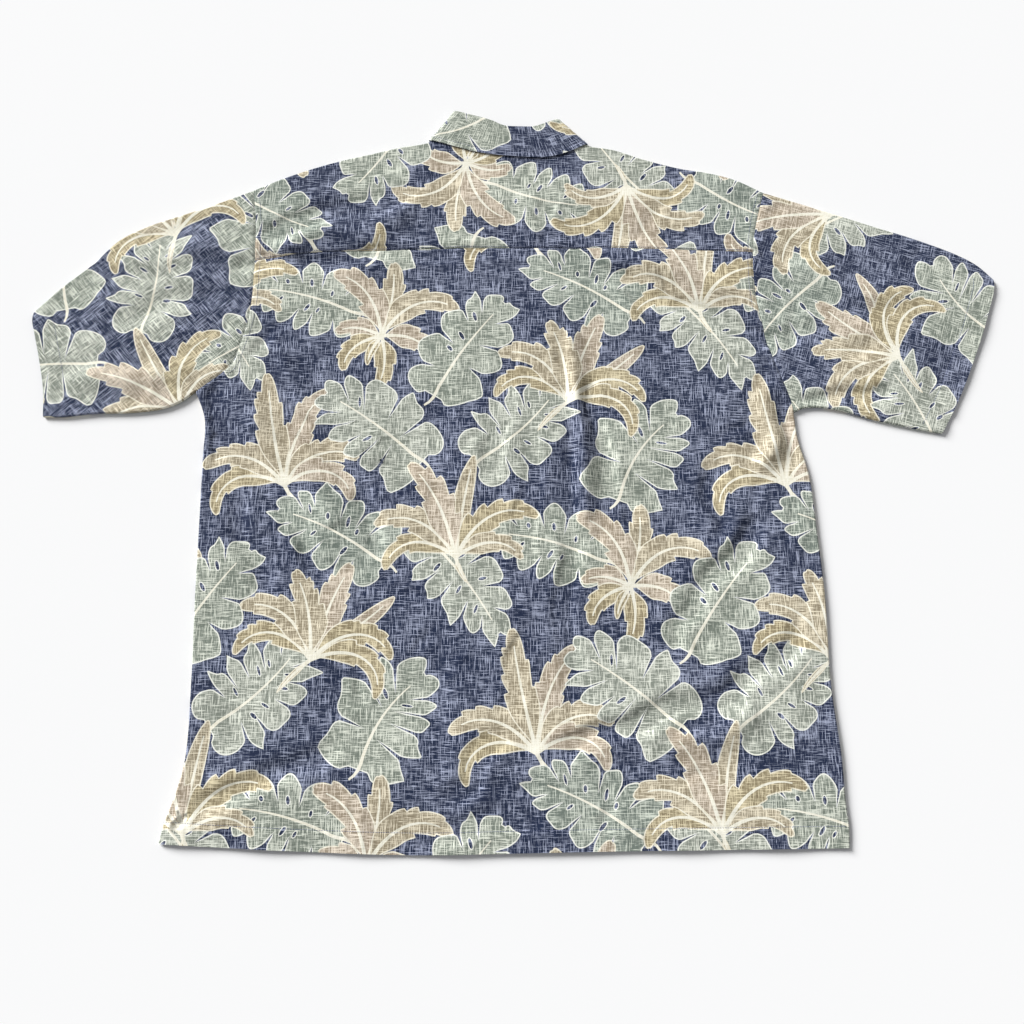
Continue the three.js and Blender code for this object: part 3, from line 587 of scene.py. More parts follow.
# %% [markdown]
# ## The repeat
# A printed cloth repeats after a fixed step, and here every second column drops by half. Eleven
# motifs fill one step. The rows below give their places on the laid back, measured from its middle;
# each other panel is cut from another part of the cloth, so it has its own shift and turn.

# %% The motifs of one repeat
REPEAT = np.array([[281.0, -292.0], [-281.0, -292.0]])
# x, y of the base, way it points in degrees, length, half width, bend, lobes, depth of slits, ink, seed
LEAVES = [
    (-86, 142, 56, 128, 46, -0.25, 4, 0.58, "sage", 3),
    (-108, 62, 142, 126, 49, 0.25, 5, 0.78, "sage pale", 12),
    (98, -56, 162, 122, 42, 0.45, 5, 0.5, "sage", 33),
    (-146, -56, 150, 128, 43, 0.4, 5, 0.54, "sage deep", 41),
    (-36, 60, 40, 120, 45, 0.45, 5, 0.62, "sage pale", 55),
    (122, 22, 60, 108, 49, -0.7, 4, 0.8, "sage", 62),
    (-98, -26, -50, 140, 41, -0.35, 5, 0.56, "sage pale", 74),
]
# x, y of the root, and the blades as angle, length, half width, bend, notches, ink
SPRAYS = [
    (130, -84, [
        (163, 56, 13, 0.7, 2, "blush"), (-8, 66, 16, -0.9, 2, "blush"), (78, 92, 17, 0.3, 3, "tan"),
        (112, 104, 19, 0.9, 3, "blush"), (40, 110, 17, -1.3, 3, "tan"), (208, 66, 13, 1.0, 2, "ochre"),
        (240, 40, 6, 0.4, 0, "ochre"), (-84, 62, 14, -0.5, 2, "ochre")]),
    (64, 128, [
        (222, 50, 3.6, 0.2, 0, "tan"), (152, 104, 14, 1.5, 3, "ochre"), (72, 112, 20, -0.2, 3, "blush"),
        (126, 110, 18, 1.1, 3, "tan"), (97, 100, 19, 0.35, 3, "tan"), (36, 112, 11, 0.1, 0, "blush"),
        (24, 108, 15, -1.5, 3, "ochre"), (-4, 108, 14, -1.7, 2, "ochre")]),
    (-62, -52, [
        (-70, 32, 3.4, 0.3, 0, "ochre"), (166, 98, 14, 1.5, 2, "ochre"), (82, 118, 12, -0.1, 0, "tan"),
        (140, 110, 17, 1.1, 3, "tan"), (110, 122, 20, 0.4, 3, "blush"), (46, 116, 17, -1.2, 3, "ochre"),
        (18, 84, 13, -1.2, 2, "tan")]),
    (26, -262, [
        (-58, 54, 3.8, 0.2, 0, "tan"), (178, 108, 14, 1.7, 2, "ochre"), (76, 124, 19, -0.5, 3, "blush"),
        (148, 108, 17, 1.2, 3, "tan"), (103, 134, 19, -0.1, 3, "tan"), (40, 100, 17, -1.2, 3, "tan"),
        (12, 98, 15, -1.6, 2, "blush")]),
]
print("leaves and sprays in one repeat:", len(LEAVES), len(SPRAYS))

# %% The rings of the print over one panel
LEAF_REACH = 190
SPRAY_REACH = 150
REPEAT_REACH = 420


def print_over(low, high, shift=(0, 0), turn=0.0, detail=1.0):
    """All rings that may reach the box from low to high, in the order in which they are printed."""
    cos, sin = math.cos(turn), math.sin(turn)
    spin = np.array([[cos, sin], [-sin, cos]])
    rings = []
    for m in range(-5, 6):
        for n in range(-5, 6):
            step = m * REPEAT[0] + n * REPEAT[1]
            middle = step @ spin + shift
            if np.any(middle < low - REPEAT_REACH) or np.any(middle > high + REPEAT_REACH):
                continue
            for x, y, way, length, width, bend, lobes, split, ink, seed in LEAVES:
                base = (np.array([x, y]) + step) @ spin + shift
                angle = math.radians(way) + turn
                if near(base, low, high, LEAF_REACH):
                    rings += split_leaf(base, angle, length, width, bend, lobes, split, ink, seed,
                                        detail=detail)
            for number, (x, y, blades) in enumerate(SPRAYS):
                root = (np.array([x, y]) + step) @ spin + shift
                if near(root, low, high, SPRAY_REACH):
                    rings += spray(root, turn, blades, 50 + 10 * number, detail)
    return [(ring, ink) for ring, ink in rings if np.all(ring.max(0) > low) and np.all(ring.min(0) < high)]


def near(place, low, high, reach):
    return bool(np.all(place > low - reach) and np.all(place < high + reach))


rings = print_over(np.array([-368, -365]), np.array([351, 318]))
print("rings over the back:", len(rings), "with", sum(len(ring) for ring, _ in rings), "places")

# %% [markdown]
# ## Sewing a panel
# A panel starts flat, as its outline on the plan. Its mesh is a Delaunay triangulation that has to keep
# the outline, the rounded edges, the seams and all rings of the print as edges. A plain grid
# with a fine step would need millions of faces for the same print. The flat mesh is then lifted
# to its layer, and a coarser one under it closes the cloth, so each panel is a real thin sheet.

# %% Triangles of a flat outline
def grid_inside(ring, spacing, margin):
    low, high = ring.min(0), ring.max(0)
    xs = np.arange(low[0], high[0], spacing)
    ys = np.arange(low[1], high[1], spacing * 0.87)
    x, y = np.meshgrid(xs, ys)
    x = x + (np.arange(len(ys)) % 2)[:, None] * spacing / 2
    p = np.column_stack([x.ravel(), y.ravel()])
    p = p[winding(p, ring) != 0]
    return p[line_distance(p, closed(ring)) > margin]


def face_up(places, triangles):
    """Turn all triangles counter-clockwise, and return twice the area of each."""
    a, b, c = (places[triangles[:, k]] for k in range(3))
    area = (b[:, 0] - a[:, 0]) * (c[:, 1] - a[:, 1]) - (b[:, 1] - a[:, 1]) * (c[:, 0] - a[:, 0])
    triangles[area < 0] = triangles[area < 0][:, ::-1]
    return np.abs(area)


def cut_flat(ring, guides, rings, spacing):
    """Places and triangles that fill a ring and keep its guides and print rings as edges."""
    points = [ring]
    count = len(ring)
    edges = [(i, (i + 1) % count) for i in range(count)]
    for guide in guides:
        inside = (winding(guide, ring) != 0) & (line_distance(guide, closed(ring)) > 0.04)
        edges += [(count + i, count + i + 1) for i in range(len(guide) - 1) if inside[i] and inside[i + 1]]
        points.append(guide)
        count += len(guide)
    for shape, _ in rings:
        size = len(shape)
        edges += [(count + i, count + (i + 1) % size) for i in range(size)]
        points.append(shape)
        count += size
    points.append(grid_inside(ring, spacing, 1.2))
    flat = np.vstack(points)
    found = delaunay_2d_cdt([Vector(p) for p in flat], edges, [], 0, 1e-4, False)
    places = np.array([(v.x, v.y) for v in found[0]])
    triangles = np.array([f for f in found[2] if len(f) == 3])
    centres = places[triangles].mean(axis=1)
    area = face_up(places, triangles)
    triangles = triangles[(winding(centres, ring) != 0) & (area > 1e-7)]
    used, index = np.unique(triangles, return_inverse=True)
    return places[used], index.reshape(-1, 3)


def rim_of(triangles):
    """The edges that only one triangle has, each in the direction of its triangle."""
    sides = np.vstack([triangles[:, [0, 1]], triangles[:, [1, 2]], triangles[:, [2, 0]]])
    keys = np.sort(sides, axis=1)
    _, first, count = np.unique(keys, axis=0, return_index=True, return_counts=True)
    return sides[first[count == 1]]


def cut_lining(places, rim, spacing):
    """A coarser mesh between the same rim, for the wrong side of the cloth."""
    loop = np.unique(rim)
    where = {old: new for new, old in enumerate(loop)}
    ring_edges = [(where[a], where[b]) for a, b in rim]
    order = ordered_ring(rim)
    inner = grid_inside(places[order], spacing, spacing * 0.3)
    flat = np.vstack([places[loop], inner])
    found = delaunay_2d_cdt([Vector(p) for p in flat], ring_edges, [], 0, 1e-7, True)
    names = [min(group) for group in found[3]]
    triangles = np.array([[names[i] for i in f] for f in found[2] if len(f) == 3])
    centres = flat[triangles].mean(axis=1)
    face_up(flat, triangles)
    return flat, triangles[winding(centres, places[order]) != 0], loop


def ordered_ring(rim):
    """The longest closed loop of a rim, as a list of places in order."""
    following = {a: b for a, b in rim}
    loops = []
    left = set(following)
    while left:
        start = min(left)
        loop = [start]
        left.discard(start)
        while following[loop[-1]] in left:
            loop.append(following[loop[-1]])
            left.discard(loop[-1])
        loops.append(loop)
    return max(loops, key=len)


flat_places, flat_triangles = cut_flat(ellipse((0, 0), 0, 30, 20, 60), [], [], 5)
print("a test patch:", len(flat_triangles), "triangles,", len(rim_of(flat_triangles)), "rim edges")

# %% Ink of each triangle, and its place on the cloth's own grain
def ink_triangles(places, triangles, rings):
    """The last ring that holds a triangle's centre gives its ink, as the last colour printed does."""
    centres = places[triangles].mean(axis=1)
    order = np.argsort(centres[:, 0])
    sorted_x = centres[order, 0]
    dark = np.tile(inks["ground"][0], (len(triangles), 1))
    light = np.tile(inks["ground"][1], (len(triangles), 1))
    for ring, name in rings:
        low, high = ring.min(0), ring.max(0)
        start, end = np.searchsorted(sorted_x, [low[0], high[0]])
        some = order[start:end]
        some = some[(centres[some, 1] > low[1]) & (centres[some, 1] < high[1])]
        if not len(some):
            continue
        hit = some[winding(centres[some], ring) > 0]
        dark[hit], light[hit] = inks[name]
    return dark, light


def grain_places(places, grain):
    turn, x, y = grain
    cos, sin = math.cos(turn), math.sin(turn)
    return (places @ np.array([[cos, -sin], [sin, cos]]) + (x, y)) * MM


dark, light = ink_triangles(flat_places, flat_triangles, [(ellipse((0, 0), 0, 10, 10), "sage")])
print("inked triangles in the test patch:", int((dark[:, 1] > 0.1).sum()))

# %% Heights and facings of a layer
NUDGE = 0.35


def slope_of(height, p):
    level = height(p)
    right = height(p + (NUDGE, 0))
    up = height(p + (0, NUDGE))
    return level, (right - level) / NUDGE, (up - level) / NUDGE


def lay_over(p, face, rolls=(), lift=None, centre=(0, 0)):
    """Places and facings of the outer side of a layer over the plan; face is 1 up and -1 down."""
    top, top_x, top_y = slope_of(back_top, p)
    floor, floor_x, floor_y = slope_of(front_lift, p)
    radius = (top - floor) / 2 - SEAM_GAP / 2
    middle = (top + floor) / 2 + face * SEAM_GAP / 2
    turn = np.zeros(len(p))
    out = np.zeros((len(p), 2))
    for line in rolls:
        share = np.maximum(0, 1 - line_distance(p, line) / radius)
        closer = share > turn
        if closer.any():
            out[closer] = outward_of(p[closer], line, np.asarray(centre, float))
        turn = np.maximum(turn, share)
    rise = np.sqrt(1 - turn**2)
    z = middle + face * radius * rise
    slope = np.column_stack([top_x, top_y] if face > 0 else [floor_x, floor_y])
    if lift is not None:
        z = z + lift(p)
    normal = np.column_stack([out * turn[:, None] - face * slope * rise[:, None], face * rise])
    normal /= np.linalg.norm(normal, axis=1)[:, None]
    return np.column_stack([p, z]), normal


# distances from a folded edge, as shares of its radius, for the lines that keep its round shape
ROUND_SHARES = [0.0603, 0.234, 0.5, 0.741, 1.0]


def beside(line, distance, centre):
    """A line moved towards the centre of its panel."""
    normal = across_of(line)
    if np.sum((line.mean(0) - centre) * normal.mean(0)) > 0:
        normal = -normal
    return line + normal * distance


print("slope of the back at its middle:", slope_of(back_top, np.array([[0.0, 0.0]]))[1].round(3))

# %% A closed sheet of cloth from its outer and its inner mesh
def sheet_parts(places, triangles, lay, grain, rings, face, lining_step=8.0, sink=True):
    rim = rim_of(triangles)
    lining_flat, lining, loop = cut_lining(places, rim, lining_step)
    outer, facing = lay(places)
    inner_outer, inner_facing = lay(lining_flat)
    inner = inner_outer - inner_facing * WALL
    # The lining's triangles are coarse, so between its rims it keeps under the lowest place beside it.
    free = (np.arange(len(inner)) >= len(loop)) & sink
    depth = face * inner_outer[:, 2]
    for aside in ((lining_step / 2, 0), (-lining_step / 2, 0), (0, lining_step / 2), (0, -lining_step / 2)):
        depth = np.minimum(depth, face * lay(lining_flat + aside)[0][:, 2])
    inner[free, 2] = face * (depth[free] - WALL)
    count = len(outer)
    where = {old: count + new for new, old in enumerate(loop)}
    a, b = rim[:, 0], rim[:, 1]
    c = np.array([where[i] for i in b])
    d = np.array([where[i] for i in a])
    edge_faces = np.vstack([np.column_stack([b, a, d]), np.column_stack([b, d, c])])
    faces = [triangles, lining[:, ::-1] + count, edge_faces]
    points = np.vstack([outer, inner])
    edge_points = points[edge_faces]
    edge_normal = np.cross(edge_points[:, 1] - edge_points[:, 0], edge_points[:, 2] - edge_points[:, 0])
    edge_normal /= np.maximum(np.linalg.norm(edge_normal, axis=1), 1e-9)[:, None]
    corner = np.vstack([
        facing[triangles].reshape(-1, 3),
        -inner_facing[lining[:, ::-1]].reshape(-1, 3),
        np.repeat(edge_normal * face, 3, axis=0),
    ])
    spare = len(lining) + len(edge_faces)
    dark, light = (np.vstack([own, np.tile(ground, (spare, 1))])
                   for own, ground in zip(ink_triangles(places, triangles, rings), inks["ground"]))
    flat = np.vstack([places, lining_flat])
    all_faces = np.vstack(faces)
    if face < 0:
        all_faces = all_faces[:, ::-1]
        corner = corner.reshape(-1, 3, 3)[:, ::-1].reshape(-1, 3)
    return {"points": points, "faces": all_faces, "corner": corner, "dark": dark, "light": light,
            "grain": grain_places(flat, grain), "area": plan_area(outer, triangles)}


def plan_area(points, triangles):
    a, b, c = (points[triangles[:, k]] for k in range(3))
    return float(np.linalg.norm(np.cross(b - a, c - a), axis=1).sum() / 2) * MM * MM


def join_parts(parts):
    whole = {}
    offset = 0
    faces = []
    for part in parts:
        faces.append(part["faces"] + offset)
        offset += len(part["points"])
    for key in ("points", "corner", "dark", "light", "grain"):
        whole[key] = np.vstack([part[key] for part in parts])
    whole["faces"] = np.vstack(faces)
    whole["area"] = sum(part["area"] for part in parts)
    return whole


print("parts of a sheet: outer side, wrong side, cut edge")

# %% From arrays to a piece in the scene
def add_object(name, mesh):
    piece = bpy.data.objects.new(name, mesh)
    bpy.context.scene.collection.objects.link(piece)
    return piece


def plain_mesh(name, points, faces, material):
    """A mesh from places in millimetres on the drawing."""
    mesh = bpy.data.meshes.new(name)
    mesh.from_pydata(((np.asarray(points) - (*MIDDLE, 0)) * MM).tolist(), [], faces)
    mesh.materials.append(material)
    return mesh


def make_piece(name, part, material):
    mesh = bpy.data.meshes.new(name)
    points = part["points"].copy()
    points[:, :2] -= MIDDLE
    mesh.from_pydata((points * MM).tolist(), [], part["faces"].tolist())
    mesh.update()
    for layer, values in (("ink_dark", part["dark"]), ("ink_light", part["light"])):
        colours = mesh.color_attributes.new(name=layer, type="FLOAT_COLOR", domain="CORNER")
        rows = np.column_stack([np.repeat(values, 3, axis=0), np.ones(3 * len(values))])
        colours.data.foreach_set("color", rows.ravel().astype(np.float32))
    grain = mesh.uv_layers.new(name="grain")
    grain.data.foreach_set("uv", part["grain"][part["faces"]].reshape(-1).astype(np.float32))
    mesh.normals_split_custom_set(part["corner"].tolist())
    mesh.materials.append(material)
    piece = add_object(name, mesh)
    print(f"{name}: {len(part['faces'])} triangles, {part['area']:.4f} square metres of cloth")
    return piece


# %% [markdown]
# ## Materials
# The shirt is a plain-weave cotton, dull and slightly fuzzy, printed so that dark and light threads
# show as fine strokes both ways. The strokes are drawn about a millimetre wide, coarser than
# real yarn, because a finer one would not show from where the camera stands.

# %% A node with its settings and links
def add_node(tree, kind, settings=None, links=None):
    node = tree.nodes.new(kind)
    for key, value in (settings or {}).items():
        if key.startswith("in:"):
            socket = node.inputs[int(key[3:])] if key[3:].isdigit() else node.inputs[key[3:]]
            socket.default_value = value
        else:
            setattr(node, key, value)
    for key, source in (links or {}).items():
        socket = node.inputs[int(key)] if key.isdigit() else node.inputs[key]
        tree.links.new(source, socket)
    return node


def new_material(name, roughness, ior=1.5):
    material = bpy.data.materials.new(name)
    material.use_nodes = True
    tree = material.node_tree
    shader = tree.nodes["Principled BSDF"]
    shader.inputs["Roughness"].default_value = roughness
    shader.inputs["IOR"].default_value = ior
    return material, tree, shader


def maths(tree, operation, *values):
    """One sum; a value is a plain number or another node's socket."""
    plain = {f"in:{k}": value for k, value in enumerate(values) if isinstance(value, float)}
    linked = {str(k): value for k, value in enumerate(values) if not isinstance(value, float)}
    return add_node(tree, "ShaderNodeMath", {"operation": operation, **plain}, linked).outputs["Value"]


def flat_noise(tree, place, scale, detail, **more):
    settings = {"noise_dimensions": "2D", "in:Scale": scale, "in:Detail": detail}
    settings.update({f"in:{name}": value for name, value in more.items()})
    return add_node(tree, "ShaderNodeTexNoise", settings, {"Vector": place}).outputs["Fac"]


def colour_by(tree, shader, factor, dark, light):
    """The base colour runs from a dark to a light code as the factor does."""
    mix = add_node(tree, "ShaderNodeMix", {
        "data_type": "RGBA", "in:6": (*linear(dark), 1.0), "in:7": (*linear(light), 1.0)}, {"0": factor})
    tree.links.new(mix.outputs[2], shader.inputs["Base Color"])


def relief_by(tree, shader, height, strength, distance):
    bump = add_node(tree, "ShaderNodeBump", {"in:Strength": strength, "in:Distance": distance},
                    {"Height": height})
    tree.links.new(bump.outputs["Normal"], shader.inputs["Normal"])


print("helpers for materials are ready")

# %% Printed plain-weave cotton
STROKE_WIDE = 0.0009
STROKE_LONG = 0.019
PATCH = 0.030
TONE_PATCH = 0.05
YARN = 0.0028
cotton, tree, shader = new_material("printed plain-weave cotton", 0.93)
# Dull, with a little fuzz that pales it at low angles; the printed ink fills the yarn unevenly.
shader.inputs["Sheen Weight"].default_value = 0.12
shader.inputs["Sheen Roughness"].default_value = 0.5
shader.inputs["Specular IOR Level"].default_value = 0.2
on_grain = add_node(tree, "ShaderNodeUVMap", {"uv_map": "grain"}).outputs["UV"]
strokes = []
for along, across, offset in ((STROKE_LONG, STROKE_WIDE, 0.0), (STROKE_WIDE, STROKE_LONG, 0.31)):
    turned = add_node(tree, "ShaderNodeMapping", {
        "in:Location": (offset, offset, 0.0), "in:Scale": (1 / along, 1 / across, 1.0)},
        {"Vector": on_grain})
    strokes.append(flat_noise(tree, turned.outputs["Vector"], 1.0, 2.0, Roughness=0.66, Distortion=0.12))
# In some patches the weft's strokes lie on top, in others the warp's.
dominance = add_node(tree, "ShaderNodeMapRange", {
    "in:From Min": 0.35, "in:From Max": 0.65, "in:To Min": 0.045, "in:To Max": -0.045},
    {"Value": flat_noise(tree, on_grain, 1 / PATCH, 1.0)}).outputs["Result"]
weft = maths(tree, "ADD", strokes[0], dominance)
warp = maths(tree, "SUBTRACT", strokes[1], dominance)
crossed = maths(tree, "MAXIMUM", weft, warp)
both = maths(tree, "MULTIPLY_ADD", maths(tree, "ADD", weft, warp), 0.35, crossed)
cloudy = maths(tree, "MULTIPLY_ADD", flat_noise(tree, on_grain, 1 / TONE_PATCH, 3.0), 0.22, -0.11)
level = maths(tree, "ADD", both, cloudy)
dark_ink = add_node(tree, "ShaderNodeVertexColor", {"layer_name": "ink_dark"}).outputs["Color"]
light_ink = add_node(tree, "ShaderNodeVertexColor", {"layer_name": "ink_light"}).outputs["Color"]
# The pale inks cover more of the threads than the ground does, so their light tone has a larger share.
paleness = add_node(tree, "ShaderNodeRGBToBW", {}, {"Color": dark_ink}).outputs["Val"]
share = add_node(tree, "ShaderNodeMapRange", {
    "interpolation_type": "SMOOTHSTEP", "in:From Min": 0.90, "in:From Max": 1.09},
    {"Value": maths(tree, "MULTIPLY_ADD", paleness, 0.22, level)}).outputs["Result"]
printed = add_node(tree, "ShaderNodeMix", {"data_type": "RGBA"}, {"0": share, "6": dark_ink, "7": light_ink})
tree.links.new(printed.outputs[2], shader.inputs["Base Color"])
relief_by(tree, shader, maths(tree, "ADD", flat_noise(tree, on_grain, 1 / YARN, 2.0), both), 0.35, 0.0004)
print("cotton nodes:", len(tree.nodes))

# %% [markdown]
# ## The back and the yoke
# The back is one panel from the hem to the yoke seam. Its sides roll over to meet the fronts, so
# its mesh has lines of places close to them that follow the round edge.

# %% Guides and the back
HALF_SEAM = 0.15
SEAM_STEPS = [0.8, 1.7, 3.2, 6.0]
HEM_STEPS = [2.5, 19.5, 22.0, 24.5]
SIDE_RADIUS = 2.2
GRID_STEP = 5.5
SAME_PLACE = 0.5


def guides_of(centre, rolls, seams):
    """Lines for a panel's mesh: some round each rolled edge, and some beside each seam at its own steps."""
    guides = [beside(line, SIDE_RADIUS * share, centre) for line in rolls for share in ROUND_SHARES]
    return guides + [beside(line, step, centre) for line, steps in seams for step in steps]


def moved(line, by):
    return line + np.asarray(by, float)


def ring_of(*lines):
    """One closed ring from border lines that follow each other, without doubled corners."""
    whole = [lines[0]]
    for line in lines[1:]:
        skip = 1 if math.dist(whole[-1][-1], line[0]) < SAME_PLACE else 0
        whole.append(line[skip:])
    ring = np.vstack(whole)
    if math.dist(ring[0], ring[-1]) < SAME_PLACE:
        ring = ring[:-1]
    return ring


pieces = {}
back_centre = np.array([-10.0, -60.0])
back_ring = ring_of(
    hem_line, side_line["right"][::-1], moved(back_armhole["right"][::-1][1:], (-HALF_SEAM, 0)),
    moved(yoke_seam[::-1][1:-1], (0, -HALF_SEAM)), moved(back_armhole["left"][:-1], (HALF_SEAM, 0)),
    side_line["left"])
back_rolls = [side_line["left"], side_line["right"]]
back_seams = [(hem_line, HEM_STEPS), (yoke_seam, SEAM_STEPS), (back_armhole["left"], SEAM_STEPS),
              (back_armhole["right"], SEAM_STEPS)]
back_print = print_over(back_ring.min(0), back_ring.max(0))


def lay_back(p):
    return lay_over(p, 1, back_rolls, centre=back_centre)


places, faces = cut_flat(back_ring, guides_of(back_centre, back_rolls, back_seams), back_print, GRID_STEP)
pieces["back"] = make_piece(
    "back_panel", sheet_parts(places, faces, lay_back, (0.0, 0.0, 0.0), back_print, 1), cotton)

# %% The yoke, one panel over both shoulders
yoke_centre = np.array([-8.0, 370.0])
YOKE_PRINT = ((-203.0, 53.0), 3.15)
yoke_ring = ring_of(
    moved(yoke_seam[1:-1], (0, HALF_SEAM)), moved(yoke_armhole["right"][::-1], (-HALF_SEAM, 0)),
    shoulder_line["right"][1:], neck_parts[1][::-1][1:-1], shoulder_line["left"][::-1],
    moved(yoke_armhole["left"][1:], (HALF_SEAM, 0)))
yoke_rolls = [shoulder_line["left"], shoulder_line["right"]]
yoke_seams = [(yoke_seam, SEAM_STEPS), (yoke_armhole["left"], SEAM_STEPS),
              (yoke_armhole["right"], SEAM_STEPS)]
yoke_print = print_over(yoke_ring.min(0), yoke_ring.max(0), *YOKE_PRINT)


def lay_yoke(p):
    return lay_over(p, 1, yoke_rolls, centre=yoke_centre)


places, faces = cut_flat(yoke_ring, guides_of(yoke_centre, yoke_rolls, yoke_seams), yoke_print, GRID_STEP)
pieces["yoke"] = make_piece(
    "yoke_panel", sheet_parts(places, faces, lay_yoke, (YOKE_PRINT[1], 40.0, -30.0), yoke_print, 1), cotton)

# %% [markdown]
# ## The sleeves
# A sleeve is a tube that lies flat: an upper and a lower layer which meet round its top fold and its
# underarm fold. Both layers are made in the way of the back and joined into one piece.

# %% Two flat tubes
SLEEVE_PRINT = {"left": ((17.0, -246.0), 0.71), "right": ((-166.0, -293.0), 1.29)}
CUFF_STEPS = [2.5, 21.5, 24.0, 26.5]
UNDER_SHIFT = (90, 60)
UNDER_DETAIL = 0.6
UNDER_STEP = 9.0
for side in ("left", "right"):
    outer_shift = (-HALF_SEAM, 0) if side == "left" else (HALF_SEAM, 0)
    seam = moved(armhole_line[side], outer_shift)
    seam[0] = sleeve_top[side][0]
    seam[-1] = sleeve_under[side][0]
    ring = ring_of(seam, sleeve_under[side][1:], cuff_line[side][::-1][1:], sleeve_top[side][::-1][1:])
    middle = ring.mean(0)
    rolls = [sleeve_top[side], sleeve_under[side]]
    shift, turn = SLEEVE_PRINT[side]
    layers = []
    guides = guides_of(middle, rolls, [(seam, SEAM_STEPS), (cuff_line[side], CUFF_STEPS)])
    under = (shift[0] + UNDER_SHIFT[0], shift[1] + UNDER_SHIFT[1])
    for face, offset, detail, step in ((1, shift, 1.0, GRID_STEP), (-1, under, UNDER_DETAIL, UNDER_STEP)):
        rings = print_over(ring.min(0), ring.max(0), offset, turn, detail)
        places, faces = cut_flat(ring, guides, rings, step)
        layers.append(sheet_parts(
            places, faces, lambda p, f=face: lay_over(p, f, rolls, centre=middle),
            (turn, 120.0 * face, 80.0), rings, face))
    pieces[f"sleeve_{side}"] = make_piece(f"sleeve_tube_{side}", join_parts(layers), cotton)

# %% [markdown]
# ## The fronts
# Both fronts lie under the back, face down. The left front, as worn, carries the buttonholes and is
# the outer one, so the right front climbs over it along the band. Their outer sides face the floor.

# %% Two fronts
FRONT_STEP = 9.0
FRONT_LINING_STEP = 12.0
FRONT_DETAIL = 0.55
FRONT_PRINT = {"left": (-36.0, 60.0), "right": (52.0, -84.0)}


def front_lines(side):
    """Which way a front's band faces, where it ends, the front's hem, and what lifts that front."""
    sign = 1 if side == "left" else -1
    edge_x = BAND_X + sign * BAND_HALF
    own_hem = HEM[:BAND_HEM] if sign > 0 else HEM[BAND_HEM + 1:][::-1]
    hem = curve_through([*own_hem, (edge_x, HEM[BAND_HEM][1])], EDGE_STEP)
    return sign, edge_x, hem, None if sign > 0 else overlap_lift


for side in ("left", "right"):
    sign, edge_x, front_hem, lift = front_lines(side)
    neck = neck_parts[0][::-1] if sign > 0 else neck_parts[2]
    band_edge = even_steps(np.array([[edge_x, BAND_NECK_Y], (edge_x, HEM[BAND_HEM][1])]), EDGE_STEP)
    ring = ring_of(
        side_line[side][::-1], moved(armhole_line[side][::-1][1:-1], (sign * HALF_SEAM, 0)),
        shoulder_line[side], neck[1:], band_edge, front_hem[::-1][1:])
    middle = ring.mean(0)
    rolls = [side_line[side], shoulder_line[side]]
    rings = print_over(ring.min(0), ring.max(0), FRONT_PRINT[side], 0.0, FRONT_DETAIL)
    places, faces = cut_flat(ring, guides_of(middle, rolls, [(front_hem, [3.0, 22.0])]), rings, FRONT_STEP)
    pieces[f"front_{side}"] = make_piece(f"front_panel_{side}", sheet_parts(
        places, faces, lambda p: lay_over(p, -1, rolls, lift, middle),
        (0.0, 300.0, 200.0), rings, -1, FRONT_LINING_STEP), cotton)

# %% [markdown]
# ## The collar
# The collar is a long strip that starts under one front, turns round the side of the neck, lies over the
# back and turns under again. It isn't a height over the plan, so it is cut as its flat
# pattern, with the length along the strip and the width across it, and each place of the pattern is
# then carried to the bent strip. The fall and the stand meet in the round fold along the top.

# %% A strip that is cut flat and bent round the neck
TURN_STEPS = 10
STRIP_CELLS = 6


def bent_strip(from_parts, to_parts, low, high, inset):
    """Stations along a collar strip: the place of its two long edges, and the way its outer side faces."""
    centre = (low + high) / 2
    radius = (high - low) / 2
    rows = []

    def add(a, b, angle, outward):
        move = outward * (radius * math.cos(angle) - radius - inset)
        z = centre + radius * math.sin(angle)
        face = np.array([*(outward * math.cos(angle)), math.sin(angle)])
        rows.append((np.array([*(a + move), z]), np.array([*(b + move), z]), face))

    flat_angles = (-math.pi / 2, math.pi / 2, -math.pi / 2)
    for number, (top, edge) in enumerate(zip(from_parts, to_parts)):
        start = 0 if number == 0 else 1
        stop = len(top) if number == 2 else len(top) - 1
        for a, b in zip(top[start:stop], edge[start:stop]):
            add(a, b, flat_angles[number], np.zeros(2))
        if number < 2:
            along = top[-1] - edge[-1]
            along = along / np.hypot(*along)
            sign = 1 if number == 0 else -1
            outward = np.array([-along[1], along[0]]) * sign
            for k in range(TURN_STEPS + 1):
                angle = flat_angles[number] * (1 - 2 * k / TURN_STEPS)
                add(top[-1], edge[-1], angle, outward)
    return [np.array(column) for column in zip(*rows)]


def rows_of(parts):
    return [curve_rows(part, STRIP_CELLS) for part in parts]


def towards(parts, others, distance):
    moved_parts = []
    for line, other in zip(parts, others):
        way = other - line
        moved_parts.append(line + way / np.hypot(*way.T)[:, None] * distance)
    return moved_parts


fold_rows, edge_rows, neck_rows = rows_of(COLLAR_FOLD), rows_of(COLLAR_EDGE), rows_of(COLLAR_NECK)
strip_fold, strip_edge, strip_face = bent_strip(fold_rows, edge_rows, 0.0, BACK_TOP + LAYER, 0.0)
print("stations along the collar:", len(strip_fold))

# %% Carry a pattern to the strip
FOLD_ROUND = 1.3


def reach_along(top, edge):
    """Distances along the middle of a strip, one for each station."""
    steps = np.linalg.norm(np.diff((top + edge) / 2, axis=0), axis=1)
    return np.concatenate([[0], np.cumsum(steps)])


